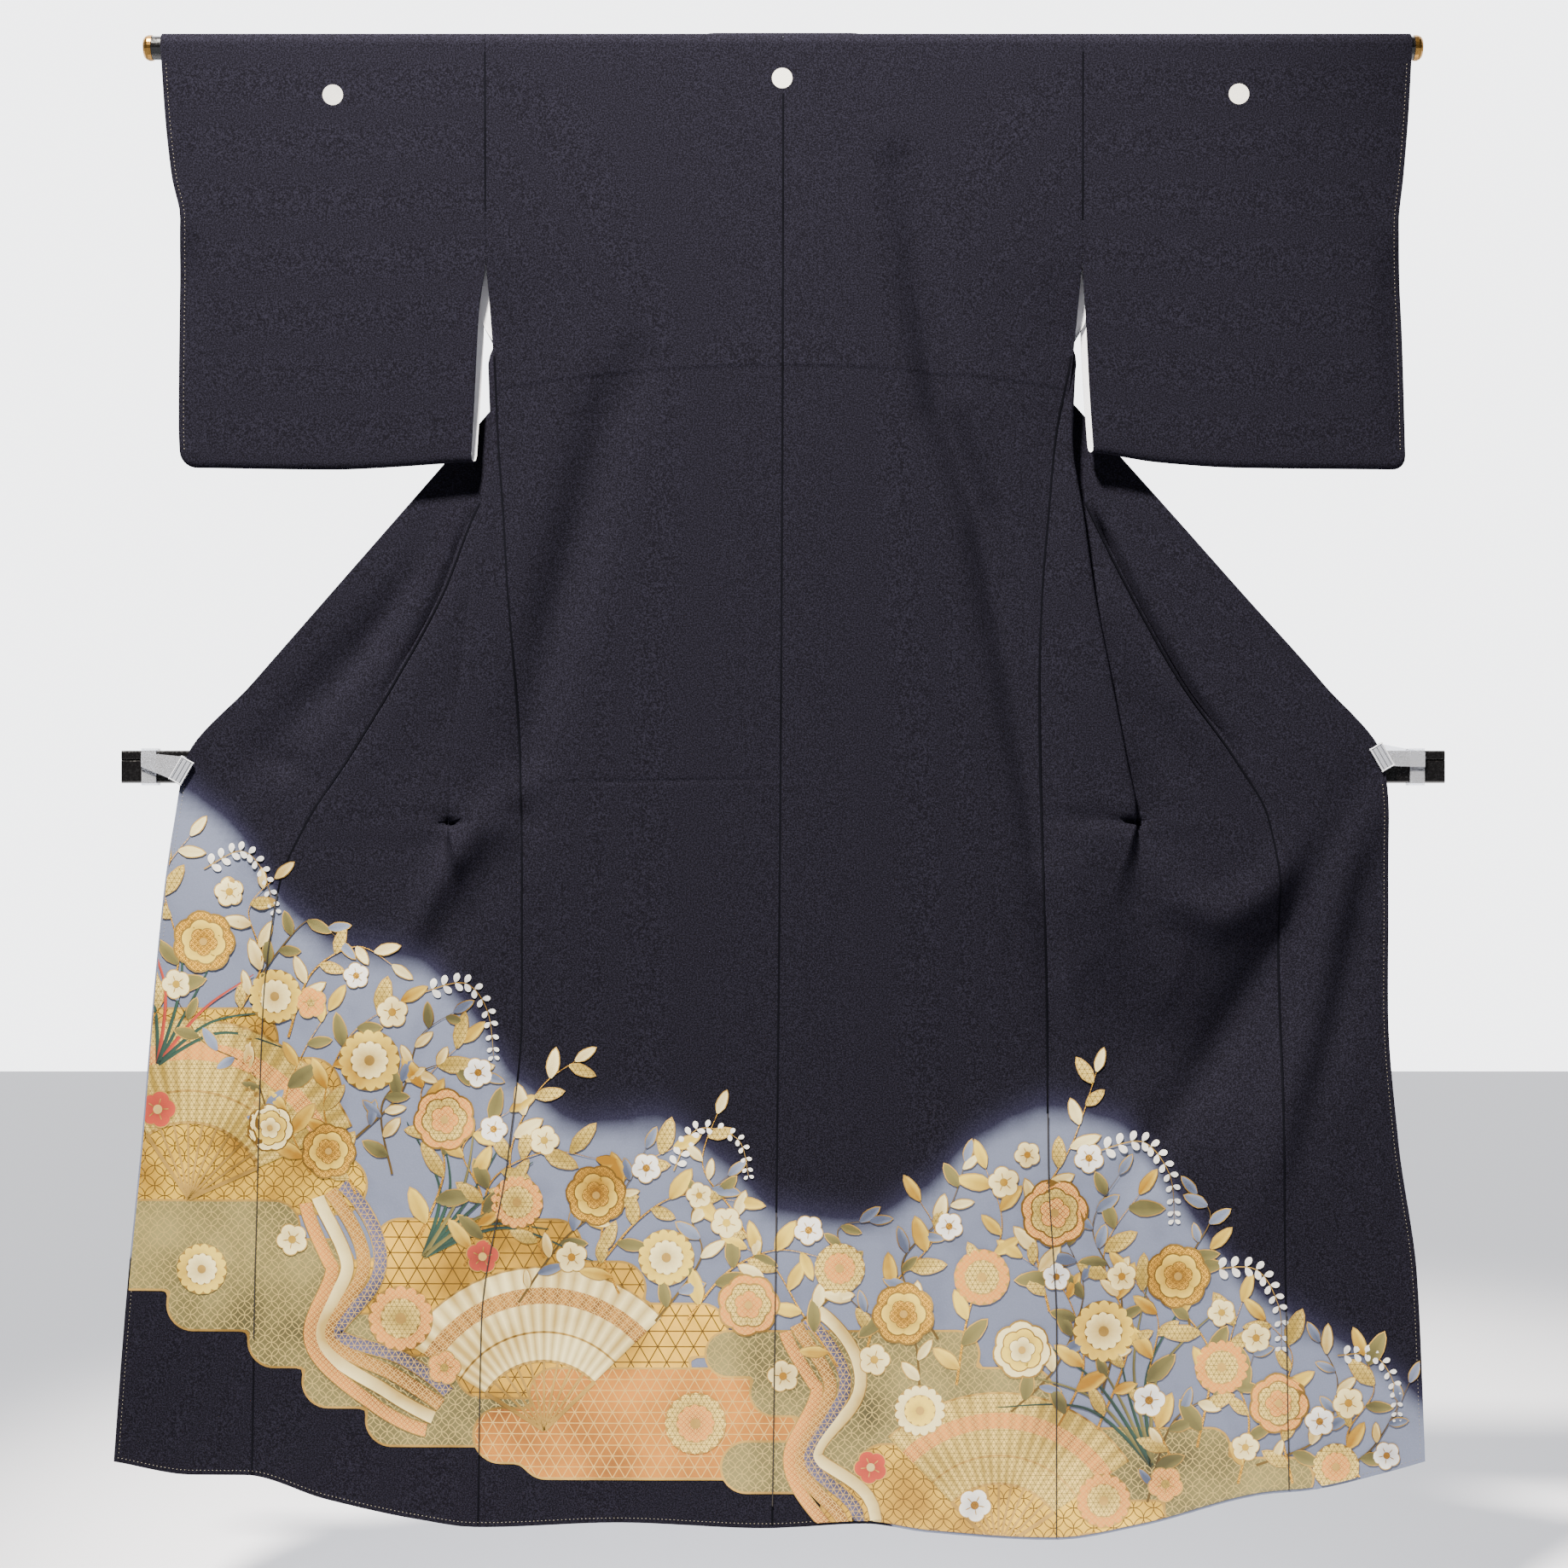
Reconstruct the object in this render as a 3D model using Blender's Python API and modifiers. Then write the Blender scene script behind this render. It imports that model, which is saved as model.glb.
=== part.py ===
# Formal kimono with long plain sleeves, hung on a lacquered rod with its back to the viewer.
# Metres, +Z up. The origin is on the rod's axis, half way along it. The back of the garment
# faces -Y and the wearer's left side is at -X. "Out" is the distance from the middle plane
# towards either side, and "drop" is the distance below the rod's axis, both in millimetres.
import math

import bmesh
import bpy
from mathutils import Matrix, Vector

MM = 0.001
CLOTH_WALL = 1.6          # black silk, its lining and the turned edges between them
COLLAR_WALL = 3.0         # four layers and a stiffening strip
SEAM_GAP = 0.3            # between two pieces that are sewn together
ROD_RADIUS = 13.0
ROD_HALF = 694.0
CAP_LENGTH = 9.0
CAP_RADIUS = 14.0
FIT = 0.3                 # between hard pieces, and between the cloth and the rod
SHOULDER_STEPS = 6        # flat faces from the near side of the rod over to the far side
WRAP = (ROD_RADIUS + FIT + CLOTH_WALL / 2) / math.cos(math.pi / 2 / SHOULDER_STEPS)   # middle of the cloth
NECK_HALF = 88.0          # the neck opening, along the rod from the middle
SLEEVE_JOIN = 235.0       # drop at which the sleeve is free of the body
OPENING_END = 340.0       # drop at which the side seam starts
CENTRE_LEAN = 12.0        # the back seam drifts this far to the left on its way to the hem
HEM_LEVEL = 1625.0
HEM_START = 1000.0        # rows above this drop are level, rows below it follow the hem
KENSAKI = 285.0           # drop of the overlap panel's upper point
CLIP_DROP = 784.0         # the collar ends here, in the clip
BEND_STEP = 3.0           # a folded edge turns in two short steps of this length
FOLD_LEAST = 9.0          # a folded part is never narrower than this where it begins
TURN_BULGE = 3.5          # a fold stands this far back where the cloth turns over
FOLD_TOP = 30.0           # out of the hidden crease where it would reach the rod
COLLAR_WIDTH_NECK = 56.0
COLLAR_WIDTH_END = 75.0
RAIL_DROP = 792.0
RAIL_HALF = 735.0
RAIL_HEIGHT = 36.0
RAIL_DEPTH = 18.0
RAIL_FRONT = 23.0
STRAP_WALL = 2.2
STRAP_WIDTH = 16.0

# What the two sides share: how far each line lies behind the rod's axis (+) or before it (-).
DEPTH_COLUMNS = ("drop", "back_side", "front_side", "turn", "okumi", "edge")
DEPTH = [
    (0, -WRAP, WRAP, WRAP, WRAP, WRAP),
    (60, -13.0, 13.0, 14.2, 14.1, 14.1),
    (110, -12.0, 12.0, 14.6, 15.2, 15.2),
    (160, -10.8, 10.8, 15.0, 18.5, 18.5),
    (229, -8.5, 8.5, 15.0, 19.0, 19.0),
    (290, -4.0, 5.0, 15.0, 19.4, 19.4),
    (340, -1.6, 2.2, 15.0, 19.0, 19.5),
    (385, -1.2, -1.2, 14.6, 18.6, 19.3),
    (430, -1.2, -1.2, 14.0, 18.0, 19.0),
    (515, -3.0, -3.0, 12.5, 16.0, 18.0),
    (600, -5.0, -5.0, 11.0, 13.5, 16.0),
    (700, -6.5, -6.5, 8.0, 10.0, 14.0),
    (784, -7.0, -7.0, 4.0, 8.0, 12.0),
    (850, -7.5, -7.5, 0.0, 5.0, 11.0),
    (925, -8.0, -8.0, -4.0, 2.0, 10.0),
    (1060, -8.0, -8.0, -6.0, 1.0, 9.0),
    (1220, -9.0, -9.0, -8.0, -1.0, 6.0),
    (1400, -9.5, -9.5, -9.0, -4.0, 2.0),
    (1625, -10.0, -10.0, -10.0, -6.0, -2.0),
]

# How far out each seam and edge lies. "fold" is the pleat's outer edge beside the side seam.
OUT_COLUMNS = ("drop", "side", "fold", "okumi", "edge")
OUT = {
    "left": [
        (0, 327, 333, 88, 88),
        (60, 327, 333, 88, 88),
        (110, 327, 333, 88, 88),
        (160, 327, 333, 118, 118),
        (229, 327, 333, 178, 178),
        (270, 324, 330, 214, 214),
        (340, 318, 324, 251, 275),
        (430, 314, 322, 298, 353),
        (515, 308, 334, 343, 427),
        (600, 303, 345, 376, 501),
        (700, 295, 357, 430, 588),
        (784, 290, 366, 481, 661),
        (850, 288, 369, 524, 673),
        (925, 287, 360, 556, 684),
        (1060, 287, 350, 573, 697),
        (1220, 302, 350, 578, 708),
        (1400, 331, 370, 581, 722),
        (1625, 335, 380, 584, 737),
    ],
    "right": [
        (0, 329, 335, 88, 88),
        (60, 329, 335, 88, 88),
        (110, 329, 335, 88, 88),
        (160, 329, 335, 118, 118),
        (229, 329, 335, 179, 179),
        (270, 326, 332, 215, 215),
        (340, 317, 323, 254, 278),
        (430, 300, 319, 303, 358),
        (515, 292, 331, 341, 434),
        (600, 285, 343, 383, 509),
        (700, 282, 362, 439, 598),
        (784, 283, 378, 499, 664),
        (850, 285, 389, 536, 670),
        (925, 287, 380, 548, 670),
        (1060, 290, 365, 550, 669),
        (1220, 291, 360, 551, 679),
        (1400, 300, 365, 553, 699),
        (1625, 300, 370, 556, 707),
    ],
}
# Where the pleat runs out, as a drop and as the slope of its hidden crease.
PLEAT_END = {"left": 856.0, "right": 850.0}
PLEAT_SLOPE = {"left": 0.394, "right": 0.418}

# The hem from the left corner to the right one, as seen from behind.
HEM_COLUMNS = ("x", "drop")
HEM = [(-737, 1557), (-649, 1571), (-592, 1571), (-503, 1597), (-400, 1619), (-338, 1627),
       (-179, 1621), (-19, 1627), (89, 1622), (160, 1632), (301, 1641), (390, 1627),
       (531, 1592), (578, 1588), (663, 1569), (707, 1557)]

# Sleeve: the wrist edge, the free inner edge and the bottom.
CUFF_COLUMNS = ("drop", "out")
CUFF = {"left": [(0, 683), (80, 678), (145, 671), (190, 662), (230, 663), (417, 665), (464, 663)],
        "right": [(0, 690), (80, 686), (145, 681), (199, 676), (258, 678), (323, 681), (464, 685)]}
FURI_COLUMNS = ("drop", "out")
FURI = {"left": [(0, 327), (235, 327), (290, 334), (380, 339), (464, 344)],
        "right": [(0, 329), (235, 329), (305, 333), (380, 337), (464, 343)]}
BOTTOM_COLUMNS = ("out", "drop")
BOTTOM = {"left": [(343, 456), (440, 462), (496, 464), (665, 462)],
          "right": [(343, 446), (406, 456), (500, 462), (685, 464)]}
CUFF_OPENING = {"left": 190.0, "right": 199.0}
CORNER_RADIUS = {"left": 17.0, "right": 13.0}
SLEEVE_PINCH = 3.6        # half the sleeve's depth at its bottom
CUFF_PINCH = 2.4          # and where the wrist edge is sewn up
FURI_SHOW = 8.0           # the far layer reaches this much further in at the free edge

# The main soft folds as lines through the cloth: x and drop, with a width and a push back
# (+) or towards the viewer (-).
FOLDS = [
    {"width": 34, "push": 7, "line": [(-167, 352), (-205, 493), (-243, 634), (-271, 728), (-285, 822)]},
    {"width": 32, "push": 8, "line": [(127, 135), (174, 399), (218, 517), (258, 730), (285, 878)]},
    {"width": 24, "push": -6, "line": [(-393, 897), (-365, 869), (-290, 803)]},
    {"width": 30, "push": 8, "line": [(341, 888), (382, 928), (426, 967), (472, 981), (515, 963), (629, 819)]},
    {"width": 34, "push": 9, "line": [(541, 897), (547, 1010), (475, 1132), (409, 1179)]},
    {"width": 24, "push": -8, "line": [(641, 793), (603, 1028), (585, 1216), (575, 1400)]},
    {"width": 26, "push": 7, "line": [(-650, 800), (-600, 930), (-590, 1100), (-575, 1300)]},
]

BACK_SHARES = (0.0, 0.16, 0.33, 0.50, 0.67)   # of the panel, from the side seam to the neck
# Rows of faces as (from drop, to drop, count). Back and front share theirs where they are sewn.
SEWN_ROWS = [(330, 370, 3), (370, 560, 6), (560, 784, 6), (784, 832, 2), (832, 916, 6), (916, 1000, 2),
             (1000, 1625, 10)]
BACK_ROWS = [(40, 330, 5)] + SEWN_ROWS
FRONT_ROWS = [(40, 100, 2), (100, 170, 5), (170, 290, 4), (290, 330, 3)] + SEWN_ROWS
OKUMI_COLUMNS = 5
SLEEVE_SHARES = (0.0, 0.11, 0.26, 0.42, 0.58, 0.74, 0.87, 0.952, 0.986, 1.0)
SLEEVE_DROPS = (0.11, 0.24, 0.33, None, 0.50, 0.62, 0.74, 0.86, 0.955)   # None: the opening's end

# The collar round the neck: its sewn edge and its free edge, out from the middle and down along
# the cloth from the rod's top over to the far side.
COLLAR_TURN_COLUMNS = ("sewn_out", "sewn_down", "free_out", "free_down")
COLLAR_TURN = [(0, 0.9, 0, 57), (30, 0.9, 17, 57), (56, 0.9, 29, 57.5), (76, 0.9, 36, 59),
               (87.7, 6, 40, 61.5), (87.7, 13, 41.5, 64), (87.7, 22, 42.3, 68), (87.7, 33, 42.6, 74),
               (87.7, 44, 42.6, 81)]
COLLAR_LEANS = (-52.0, -49.0)      # of the band from upright, below the neck and further down
COLLAR_ROWS = [(45, 160, 4), (160, CLIP_DROP, 16)]
COLLAR_SHARES = (0.0, 0.11, 0.22, 0.33, 0.43, 0.70, 1.0)
COLLAR_BEHIND = 3.4       # from the overlap's edge back to the middle of the turned collar
COLLAR_WRAP = (ROD_RADIUS + FIT + COLLAR_WALL / 2) / math.cos(math.radians(22))

COLOURS = {
    "black_silk": ((0.0176, 0.0186, 0.0242, 1), 0.78, 0.0),
    "black_lacquer": ((0.004, 0.004, 0.005, 1), 0.22, 0.0),
    "brass": ((0.55, 0.36, 0.13, 1), 0.30, 1.0),
    "clear_plastic": ((0.72, 0.73, 0.77, 1), 0.20, 0.0),
}


def clear_scene():
    for thing in list(bpy.data.objects):
        bpy.data.objects.remove(thing, do_unlink=True)


def make_material(name):
    colour, roughness, metallic = COLOURS[name]
    material = bpy.data.materials.new(name)
    material.use_nodes = True
    shader = material.node_tree.nodes["Principled BSDF"]
    shader.inputs["Base Color"].default_value = colour
    shader.inputs["Roughness"].default_value = roughness
    shader.inputs["Metallic"].default_value = metallic
    material.diffuse_color = colour
    return material


def smooth(low, high, value):
    share = min(1.0, max(0.0, (value - low) / (high - low)))
    return share * share * (3.0 - 2.0 * share)


def read(table, columns, name, at):
    # a smooth line through one named column of a table, with no overshoot
    column = columns.index(name)
    xs = [row[0] for row in table]
    ys = [row[column] for row in table]
    if at <= xs[0]:
        return ys[0]
    if at >= xs[-1]:
        return ys[-1]
    slopes = [(ys[i + 1] - ys[i]) / (xs[i + 1] - xs[i]) for i in range(len(xs) - 1)]
    i = max(k for k in range(len(xs) - 1) if xs[k] <= at)

    def tangent(k):
        if k == 0 or k == len(xs) - 1:
            return slopes[min(k, len(slopes) - 1)]
        before, after = slopes[k - 1], slopes[k]
        return 0.0 if before * after <= 0 else 2.0 * before * after / (before + after)

    span = xs[i + 1] - xs[i]
    t = (at - xs[i]) / span
    return ((2 * t ** 3 - 3 * t ** 2 + 1) * ys[i] + (t ** 3 - 2 * t ** 2 + t) * span * tangent(i)
            + (3 * t ** 2 - 2 * t ** 3) * ys[i + 1] + (t ** 3 - t ** 2) * span * tangent(i + 1))


def depth(name, drop):
    return read(DEPTH, DEPTH_COLUMNS, name, drop)


def out(side, name, drop):
    return read(OUT[side], OUT_COLUMNS, name, drop)


def sign(side):
    return -1.0 if side == "left" else 1.0


def centre(drop):
    # the back seam's x
    return -CENTRE_LEAN * (max(0.0, drop) / HEM_LEVEL) ** 2


def fold_push(x, drop):
    # how far the soft folds push the cloth back at this place
    total = 0.0
    place = Vector((x, drop))
    for fold in FOLDS:
        line = [Vector(point) for point in fold["line"]]
        lengths = [(line[i + 1] - line[i]).length for i in range(len(line) - 1)]
        best, along = None, 0.0
        for i, length in enumerate(lengths):
            step = (line[i + 1] - line[i]) / length
            run = min(length, max(0.0, (place - line[i]).dot(step)))
            gap = (place - line[i] - step * run).length
            if best is None or gap < best:
                best, along = gap, (sum(lengths[:i]) + run) / sum(lengths)
        ends = math.sin(math.pi * min(1.0, max(0.0, along * 0.84 + 0.08)))
        total += fold["push"] * math.exp(-(best / fold["width"]) ** 2) * ends
    return total


def hem_drop(x, drop):
    # rows near the bottom follow the hem's own line
    share = smooth(HEM_START, HEM_LEVEL, drop)
    return drop + (read(HEM, HEM_COLUMNS, "drop", x) - HEM_LEVEL) * share


def point(x, y, drop):
    return Vector((x * MM, y * MM, -drop * MM))


def sheet_point(side, away, y, drop, push=1.0):
    x = sign(side) * away
    return point(x, y + push * fold_push(x, drop), hem_drop(x, drop))


def row_drops(spans):
    drops = []
    for start, end, count in spans:
        drops += [start + (end - start) * i / count for i in range(count)]
    return drops + [spans[-1][1]]


def spread(start, end, count):
    # count places from start to end, both included
    return [tuple(a + (b - a) * i / (count - 1) for a, b in zip(start, end)) for i in range(count)]


def mix(first, second, share):
    return [tuple(a + (b - a) * share for a, b in zip(p, q)) for p, q in zip(first, second)]


def bend(start, first, last):
    # two short steps that turn the cloth from one direction to another, angles in radians
    points = [start]
    for share in (1 / 3, 2 / 3):
        angle = first + (last - first) * share
        away, y = points[-1]
        points.append((away + BEND_STEP * math.cos(angle), y + BEND_STEP * math.sin(angle)))
    return points


def front_row(side, drop):
    # one row of the front panel from the side seam to the overlap panel's seam, as (out, y):
    # out to the pleat's edge, back in to the hidden crease and out again behind both.
    # Each direction is an angle, 0 outwards and pi inwards, and turns by way of the far side.
    gap = SEAM_GAP / 2
    turned = smooth(100, 170, drop)                                  # the hidden crease begins
    pleated = smooth(OPENING_END - 50, OPENING_END + 10, drop)       # the pleat's edge begins
    opened = smooth(PLEAT_END[side] - 30, PLEAT_END[side] + 50, drop)      # both have run out
    seam_gap = gap * (2.0 * smooth(OPENING_END - 40, OPENING_END, drop) - 1.0)
    seam = (out(side, "side", drop) + seam_gap, depth("front_side", drop))
    okumi = (out(side, "okumi", drop) - gap * smooth(KENSAKI - 30, KENSAKI, drop),
             depth("okumi", drop) + TURN_BULGE * math.sin(math.pi * turned))
    if opened == 1.0:
        return spread(seam, okumi, 16)

    inward, outward = math.pi, 0.0
    leg_1 = inward + (outward - inward) * pleated
    leg_2 = inward + (outward - inward) * opened
    leg_3 = inward + (outward - inward) * turned
    fold = max(out(side, "fold", drop) - BEND_STEP / 2, seam[0] + FOLD_LEAST / 2)
    edge_start = (seam[0] - 12.0 + (fold - seam[0] + 12.0) * pleated,
                  seam[1] + TURN_BULGE * math.sin(math.pi * pleated))
    edge = bend(edge_start, leg_1, leg_2)
    crease = FOLD_TOP + PLEAT_SLOPE[side] * drop + BEND_STEP / 2
    crease += (okumi[0] + 2 * BEND_STEP + FOLD_LEAST - crease) * (1.0 - turned)
    crease_y = depth("turn", drop) - BEND_STEP * math.sin(math.pi / 3)
    nearly = min(1.0, 4.0 * opened)                  # then the part between swings round the edge
    crease += (edge[2][0] + FOLD_LEAST * math.cos(leg_2) - crease) * nearly
    crease_y += (edge[2][1] + FOLD_LEAST * math.sin(leg_2) - crease_y) * nearly
    turn = bend((crease, crease_y), leg_2, leg_3)
    row = (spread(seam, edge[0], 3)[:2] + edge + spread(edge[2], turn[0], 5)[1:4]
           + turn + spread(turn[2], okumi, 6)[1:])
    return mix(row, spread(seam, okumi, 16), opened ** 3)


def okumi_row(side, drop):
    gap = SEAM_GAP / 2
    start = (out(side, "okumi", drop) + gap, depth("okumi", drop))
    end = (out(side, "edge", drop), depth("edge", drop))
    return spread(start, end, OKUMI_COLUMNS + 1)


def back_row(side, drop):
    # from the side seam to the back seam; the cloth leaves the rod's plane only near the side
    edge = out(side, "side", drop) - SEAM_GAP / 2
    inner = sign(side) * centre(drop) + SEAM_GAP / 2
    neck_out = NECK_HALF
    places = [edge + (neck_out - edge) * share / BACK_SHARES[-1] for share in BACK_SHARES]
    places += [neck_out + (inner - neck_out) * 0.5, inner]
    row = []
    for away in places:
        toward = max(0.0, away / edge) ** 3
        y = -WRAP + (depth("back_side", drop) + WRAP) * toward
        row.append((away, y))
    return row


def add_row(mesh, rows, points):
    rows.append([mesh.verts.new(p) for p in points])


def join_rows(mesh, first, second):
    # quads between equal rows, and triangles where the counts differ
    if len(first) == len(second):
        for i in range(len(first) - 1):
            mesh.faces.new((first[i], first[i + 1], second[i + 1], second[i]))
        return
    i = j = 0
    while i < len(first) - 1 or j < len(second) - 1:
        next_i = (i + 1) / (len(first) - 1)
        next_j = (j + 1) / (len(second) - 1)
        if j == len(second) - 1 or (i < len(first) - 1 and next_i <= next_j):
            mesh.faces.new((first[i], first[i + 1], second[j]))
            i += 1
        else:
            mesh.faces.new((first[i], second[j + 1], second[j]))
            j += 1


def finish_sheet(name, mesh, wall, material, collection):
    bmesh.ops.recalc_face_normals(mesh, faces=mesh.faces)
    data = bpy.data.meshes.new(name)
    mesh.to_mesh(data)
    mesh.free()
    data.shade_smooth()
    data.materials.append(material)
    sheet = bpy.data.objects.new(name, data)
    collection.objects.link(sheet)
    solidify = sheet.modifiers.new("wall", "SOLIDIFY")
    solidify.thickness = wall * MM
    solidify.offset = 0.0
    solidify.use_even_offset = False
    return sheet


def shoulder_points(side, places, angle):
    # over the rod, angle 180 degrees is the near side and 0 the far side
    turn = math.radians(angle)
    return [point(sign(side) * away, WRAP * math.cos(turn), -WRAP * math.sin(turn)) for away in places]


def make_body(side, material, collection):
    # one length of cloth: up the back, over the shoulder and down the front
    mesh = bmesh.new()
    rows = []
    for drop in reversed(row_drops(BACK_ROWS)):
        add_row(mesh, rows, [sheet_point(side, away, y, drop) for away, y in back_row(side, drop)])
    places = [away for away, y in back_row(side, 0)]
    for step in range(SHOULDER_STEPS // 2 + 1):
        add_row(mesh, rows, shoulder_points(side, places, 180 - 180 * step / SHOULDER_STEPS))
    for first, second in zip(rows, rows[1:]):
        join_rows(mesh, first, second)

    # past the top only the part outside the neck goes on
    outside = len(BACK_SHARES)
    front = [rows[-1][:outside]]
    for step in range(SHOULDER_STEPS // 2 + 1, SHOULDER_STEPS + 1):
        add_row(mesh, front, shoulder_points(side, places[:outside], 180 - 180 * step / SHOULDER_STEPS))
    for drop in row_drops(FRONT_ROWS):
        points = front_row(side, drop)
        if drop < 100:
            points = spread(points[0], points[-1], outside)
        fade = smooth(PLEAT_END[side], PLEAT_END[side] + 60, drop)
        add_row(mesh, front, [sheet_point(side, away, y, drop, fade) for away, y in points])
    for first, second in zip(front, front[1:]):
        join_rows(mesh, first, second)
    return finish_sheet("body_" + side, mesh, CLOTH_WALL, material, collection)


def make_okumi(side, material, collection):
    # the overlap panel, from its point at the collar to the hem
    mesh = bmesh.new()
    rows = []
    drops = [KENSAKI] + [drop for drop in row_drops(FRONT_ROWS) if drop > KENSAKI + 8]
    for drop in drops:
        fade = smooth(PLEAT_END[side] - 60, PLEAT_END[side] + 60, drop)
        row = okumi_row(side, drop)
        add_row(mesh, rows, [sheet_point(side, away, y, drop, fade) for away, y in row])
    for first, second in zip(rows, rows[1:]):
        join_rows(mesh, first, second)
    return finish_sheet("okumi_" + side, mesh, CLOTH_WALL, material, collection)


def sleeve_point(side, share, fraction, near):
    # share runs from the free inner edge to the wrist, fraction from the rod to the bottom
    cuff_at_top = read(CUFF[side], CUFF_COLUMNS, "out", 0)
    rough_out = FURI[side][0][1] + (cuff_at_top - FURI[side][0][1]) * share
    bottom = read(BOTTOM[side], BOTTOM_COLUMNS, "drop", rough_out)
    radius = CORNER_RADIUS[side]
    width = CUFF[side][-1][1] - FURI[side][-1][1]
    from_cuff = min(radius, (1.0 - share) * width)
    rise = radius - math.sqrt(max(0.0, radius ** 2 - (radius - from_cuff) ** 2))
    drop = fraction * bottom - rise * smooth(0.6, 1.0, fraction)
    inner = read(FURI[side], FURI_COLUMNS, "out", drop) + SEAM_GAP / 2
    if not near:
        inner -= FURI_SHOW * smooth(SLEEVE_JOIN, SLEEVE_JOIN + 90, drop)
    wrist = read(CUFF[side], CUFF_COLUMNS, "out", drop)
    away = inner + (wrist - inner) * share
    half = WRAP + (SLEEVE_PINCH - WRAP) * min(1.0, drop / bottom)
    sewn = smooth(0.90, 1.0, share) * smooth(CUFF_OPENING[side], CUFF_OPENING[side] + 70, drop)
    half += (CUFF_PINCH - half) * sewn
    return away, half, drop


def make_sleeve(side, material, collection):
    mesh = bmesh.new()
    bottom_drop = BOTTOM[side][-1][1]
    fractions = [f if f is not None else CUFF_OPENING[side] / bottom_drop for f in SLEEVE_DROPS]
    columns = []
    for share in SLEEVE_SHARES:
        loop = []
        top_out = sleeve_point(side, share, 0.0, True)[0]
        for step in range(SHOULDER_STEPS + 1):
            loop += shoulder_points(side, [top_out], 180 * step / SHOULDER_STEPS)
        for fraction in fractions:
            away, half, drop = sleeve_point(side, share, fraction, True)
            loop.append(point(sign(side) * away, -half, drop))
        away, half, drop = sleeve_point(side, share, 1.0, True)
        far_away = sleeve_point(side, share, 1.0, False)[0]
        loop.append(point(sign(side) * away, -half * 0.8, drop - half * 0.5))
        loop.append(point(sign(side) * (away + far_away) / 2, 0.0, drop))
        loop.append(point(sign(side) * far_away, half * 0.8, drop - half * 0.5))
        for fraction in reversed(fractions):
            away, half, drop = sleeve_point(side, share, fraction, False)
            loop.append(point(sign(side) * away, half, drop))
        columns.append([mesh.verts.new(p) for p in loop])
    count = len(columns[0])
    for first, second in zip(columns, columns[1:]):
        for i in range(count):
            j = (i + 1) % count
            mesh.faces.new((first[i], first[j], second[j], second[i]))
    # the wrist edge is sewn up from the opening's end down to the bottom
    wrist = columns[-1]
    start = SHOULDER_STEPS + 1 + SLEEVE_DROPS.index(None)
    lowest = SHOULDER_STEPS + 1 + len(SLEEVE_DROPS) + 1
    near = list(range(start, lowest))
    far = [2 * lowest - i for i in near]
    for i in range(len(near) - 1):
        mesh.faces.new((wrist[near[i]], wrist[near[i + 1]], wrist[far[i + 1]], wrist[far[i]]))
    mesh.faces.new((wrist[near[-1]], wrist[lowest], wrist[far[-1]]))
    return finish_sheet("sleeve_" + side, mesh, CLOTH_WALL, material, collection)


def collar_place(away, down, behind):
    # down is measured along the cloth from the rod's top over to the far side
    quarter = math.pi / 2 * COLLAR_WRAP
    if down < quarter:
        turn = math.pi / 2 - down / COLLAR_WRAP
        return point(away, COLLAR_WRAP * math.cos(turn), -COLLAR_WRAP * math.sin(turn))
    return point(away, behind, down - quarter)


def collar_rows(side):
    # each row is its sewn edge, its free edge and how far behind the rod's axis it hangs
    rows = [((row[0], row[1]), (row[2], row[3]), COLLAR_WRAP) for row in COLLAR_TURN]
    quarter = math.pi / 2 * COLLAR_WRAP
    turning = depth("edge", 160) + COLLAR_BEHIND + TURN_BULGE
    for drop in row_drops(COLLAR_ROWS)[1:]:
        behind = COLLAR_WRAP + (turning - COLLAR_WRAP) * smooth(45, 100, drop)
        behind += (depth("edge", drop) + COLLAR_BEHIND - turning) * smooth(160, 240, drop)
        lean = COLLAR_LEANS[0] + (COLLAR_LEANS[1] - COLLAR_LEANS[0]) * smooth(45, 160, drop)
        width = COLLAR_WIDTH_NECK + (COLLAR_WIDTH_END - COLLAR_WIDTH_NECK) * smooth(300, CLIP_DROP, drop)
        sewn = (out(side, "edge", drop) - SEAM_GAP * (1.0 - smooth(100, 160, drop)), drop + quarter)
        free = (sewn[0] + width * math.sin(math.radians(lean)), sewn[1] + width * math.cos(math.radians(lean)))
        rows.append((sewn, free, behind))
    return rows


def make_collar(material, collection):
    # one long band, from one end over the back of the neck to the other
    mesh = bmesh.new()
    ordered = []
    for side in ("left", "right"):
        lines = []
        for sewn, free, behind in collar_rows(side):
            lines.append([collar_place(sign(side) * (sewn[0] + (free[0] - sewn[0]) * share),
                                       sewn[1] + (free[1] - sewn[1]) * share, behind)
                          for share in COLLAR_SHARES])
        ordered.append(lines)
    band = list(reversed(ordered[0])) + ordered[1][1:]
    rows = []
    for line in band:
        add_row(mesh, rows, line)
    for first, second in zip(rows, rows[1:]):
        join_rows(mesh, first, second)
    return finish_sheet("collar", mesh, COLLAR_WALL, material, collection)


def place_object(thing, name, material, collection):
    thing.name = name
    thing.data.name = name
    thing.data.materials.clear()
    thing.data.materials.append(material)
    for owner in list(thing.users_collection):
        owner.objects.unlink(thing)
    collection.objects.link(thing)
    return thing


def make_rod(material, collection):
    bpy.ops.mesh.primitive_cylinder_add(vertices=32, radius=ROD_RADIUS * MM, depth=2 * ROD_HALF * MM,
                                        rotation=(0, math.pi / 2, 0))
    rod = place_object(bpy.context.active_object, "rod", material, collection)
    rod.data.shade_smooth()
    rod.data.set_sharp_from_angle(angle=math.radians(40))


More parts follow.
